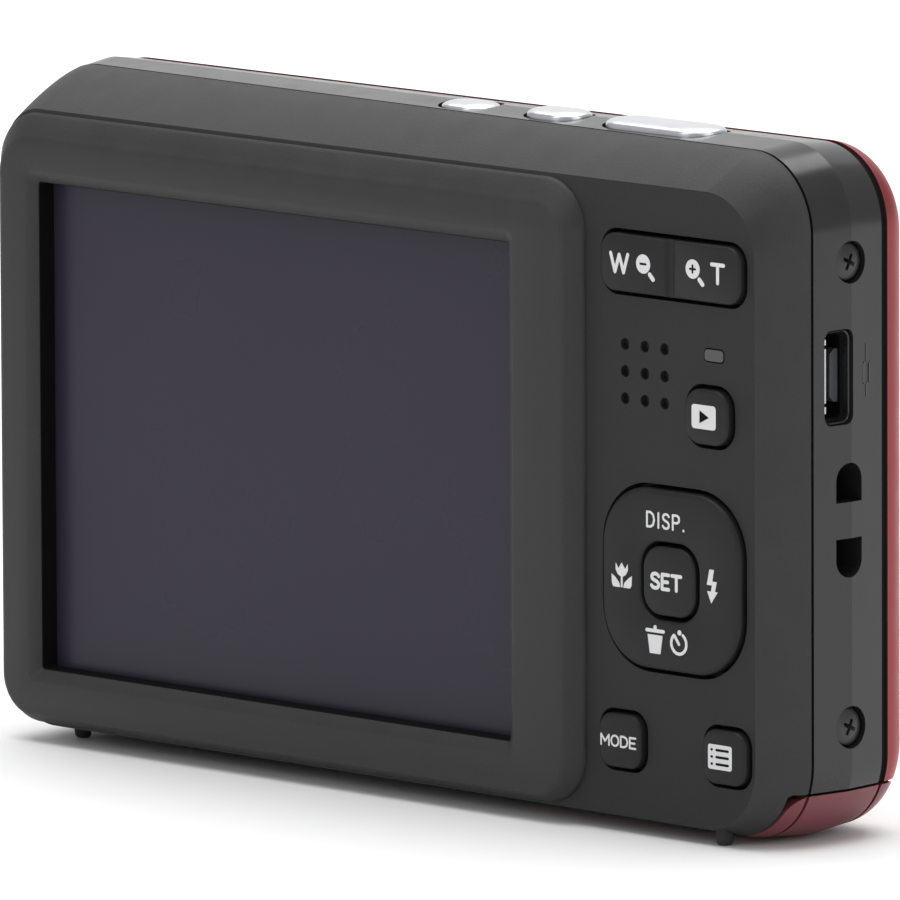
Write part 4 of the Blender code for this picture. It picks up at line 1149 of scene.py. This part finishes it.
def make_lens():
    axis = (LENS_X, LENS_Z)
    ring = [(19.1, -6.6), (21.4, -6.6), (21.4, -10.0), (21.35, -10.4), (21.2, -10.75), (20.95, -11.05)]
    ring += [(20.6, -11.3), (20.3, -11.42), (20.0, RING_FACE), (19.7, -11.47), (19.45, -11.38)]
    ring += [(19.25, -11.2), (19.1, -10.9)]
    obj = solid("lens_surround_detail", lambda m: add_turned(m, ring, "Y", axis, LENS_STEPS, True))
    piece(obj, SILVER, nodes=["lens_surround"])

    outer = [(16.9, -11.0), (16.95, -11.12), (17.1, -11.2)]
    outer += [(17.35, -11.18), (17.5, -11.05), (17.55, -10.85)]
    for line in range(3):
        start = -10.2 + line * 0.5
        outer += [(17.55, start), (17.47, start + 0.06), (17.47, start + 0.14), (17.55, start + 0.2)]
    outer += [(17.55, 1.4), (16.9, 1.4)]
    obj = solid("outer_barrel_detail", lambda m: add_turned(m, outer, "Y", axis, LENS_STEPS, True))
    piece(obj, SILVER, "outer_barrel", ["outer_barrel"])

    inner = [(6.2, -9.97), (6.2, -10.15), (6.35, -10.35), (6.6, -10.45), (6.9, -10.5)]
    for line in range(4):
        radius = 7.6 + line * 1.1
        lift = -10.55 - line * 0.05
        inner += [(radius, lift), (radius + 0.08, lift + 0.12)]
        inner += [(radius + 0.24, lift + 0.12), (radius + 0.32, lift - 0.02)]
    inner += [(13.6, -10.95), (14.2, -11.0), (16.0, -11.0), (16.3, -10.95), (16.5, -10.8), (16.55, -10.55)]
    inner += [(16.55, 1.2), (14.6, 1.2), (14.6, -9.9), (6.25, -9.95)]
    obj = solid("inner_barrel_detail", lambda m: add_turned(m, inner, "Y", axis, LENS_STEPS, True))
    piece(obj, SILVER, "inner_barrel", ["inner_barrel"])

    def glass(mesh):
        """A domed front element, with its rim ground flat."""
        profile = [(0.15, -8.9)]
        for step in range(1, 14):
            radius = 6.5 * step / 14
            profile.append((radius, -8.9 + 1.4 * (radius / 6.5) ** 2))
        profile += [(6.5, -7.5), (6.5, -6.5), (0.15, -6.5)]
        add_turned(mesh, profile, "Y", axis, 64)

    piece(solid("front_element_detail", glass), GLASS, "inner_barrel", ["front_element"])


def make_front_details():
    x, z, width, height, _ = FLASH

    def diffuser(mesh):
        """The flash window, with fine upright ribs behind its face."""
        add_prism(mesh, key_outline(FLASH, 0), "Y", -7.55, -7.1)
        count = 20
        for rib in range(count):
            middle = x - width / 2 + 0.5 + rib * (width - 1) / (count - 1)
            outline = [(middle - 0.2, -7.1), (middle, -6.85), (middle + 0.2, -7.1)]
            add_prism(mesh, outline, "Z", z - height / 2 + 0.3, z + height / 2 - 0.3)

    piece(solid("flash_diffuser", diffuser), CLEAR_LENS, nodes=["flash_window"], sharp=20)
    lamp = [(0.1, -7.78), (0.5, -7.76), (0.9, -7.7), (1.25, -7.6), (1.5, -7.48), (1.6, -7.3), (1.6, -5.6)]
    obj = solid("focus_lamp_detail", lambda m: add_turned(m, lamp, "Y", (AF_X, AF_Z), 40))
    piece(obj, ORANGE_LENS, nodes=["focus_lamp_lens"])


def give_materials():
    """Procedural finishes for the solids that are kept as they are."""
    finishes = {
        STEEL: [
            "screen_bracket",
            "pad_gimbal",
            "zoom_motor",
            "card_slot",
            "door_carrier",
            "hinge_pin",
            "microphone",
        ],
        SCREWS: ["speaker", "cover_blade_upper", "cover_blade_lower"],
        BRASS: ["battery_contacts"],
        RUBBER: ["key_rubber"],
        GLASS: ["rear_element"],
        LIGHT_PIPE: ["indicator_light"],
        CLEAR_LENS: ["flash_tube"],
        WHITE_PLASTIC: ["zoom_gear"],
        BOARD: ["key_board", "top_board", "main_board", "image_sensor"],
        INNER: ["screen_panel", "lens_base", "cam_ring", "lens_cell", "battery_holder"],
        PACK: ["flash_capacitor", "battery_pack"],
        CARD: ["memory_card"],
        SILVER: ["flash_reflector"],
    }
    for material, names in finishes.items():
        for name in names:
            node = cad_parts[name]
            node.data.materials.clear()
            node.data.materials.append(material)


# Studio


def make_studio():
    floor = solid("floor", lambda m: add_prism(m, disc(0, 0, FLOOR_RADIUS, 96), "Z", -2, 0))
    pale = finish(
        "pale_floor", (0.86, 0.86, 0.86), 0.7, grain=4, bump=0.02, spread=0.01, patch=60, specular=0.2
    )
    floor.data.materials.append(pale)
    world = bpy.data.worlds.new("studio")
    world.use_nodes = True
    background = world.node_tree.nodes["Background"]
    background.inputs["Color"].default_value = (1.0, 1.0, 1.0, 1.0)
    background.inputs["Strength"].default_value = WORLD_STRENGTH
    bpy.context.scene.world = world
    lights = (
        ("overhead", (0.1, -0.1, 1.15), 1.4, 19.0),
        ("rear", (0.2, 0.9, 0.5), 0.6, 1.5),
        ("side", (-0.8, 0.0, 0.35), 0.5, 1.2),
        ("backdrop", (1.1, -1.15, 0.5), 2.2, 8.0),
    )
    for name, place, size, power in lights:
        data = bpy.data.lights.new(name, "AREA")
        data.size = size
        data.energy = power
        light = bpy.data.objects.new(name, data)
        light.location = place
        aim = TARGET - Vector(place)
        light.rotation_euler = aim.to_track_quat("-Z", "Y").to_euler()
        bpy.context.scene.collection.objects.link(light)


def make_camera():
    """A long lens 45 degrees round from the screen's normal and a little above."""
    azimuth, elevation, roll = (
        math.radians(value) for value in (CAMERA_AZIMUTH, CAMERA_ELEVATION, CAMERA_ROLL)
    )
    level = math.cos(elevation)
    back = Vector((-math.sin(azimuth) * level, math.cos(azimuth) * level, math.sin(elevation)))
    right = Vector((0, 0, 1)).cross(back).normalized()
    up = back.cross(right)
    right, up = (
        right * math.cos(roll) + up * math.sin(roll),
        up * math.cos(roll) - right * math.sin(roll),
    )
    data = bpy.data.cameras.new("camera")
    data.lens = CAMERA_LENS
    data.sensor_width = CAMERA_SENSOR
    data.clip_end = 20
    camera = bpy.data.objects.new("camera", data)
    place = TARGET + back * CAMERA_DISTANCE - right * CAMERA_LEFT - up * CAMERA_DOWN
    turn = Matrix((right, up, back)).transposed().to_4x4()
    camera.matrix_world = Matrix.Translation(place) @ turn
    bpy.context.scene.collection.objects.link(camera)
    bpy.context.scene.camera = camera


make_rear_cover()
make_frame_band()
make_front_cover()
make_door()
make_screen()
make_keys()
make_signs()
make_top_buttons()
make_screws()
make_connector()
make_bush()
make_feet()
make_lens()
make_front_details()
give_materials()
make_studio()
make_camera()
bpy.context.scene.view_settings.view_transform = "Standard"
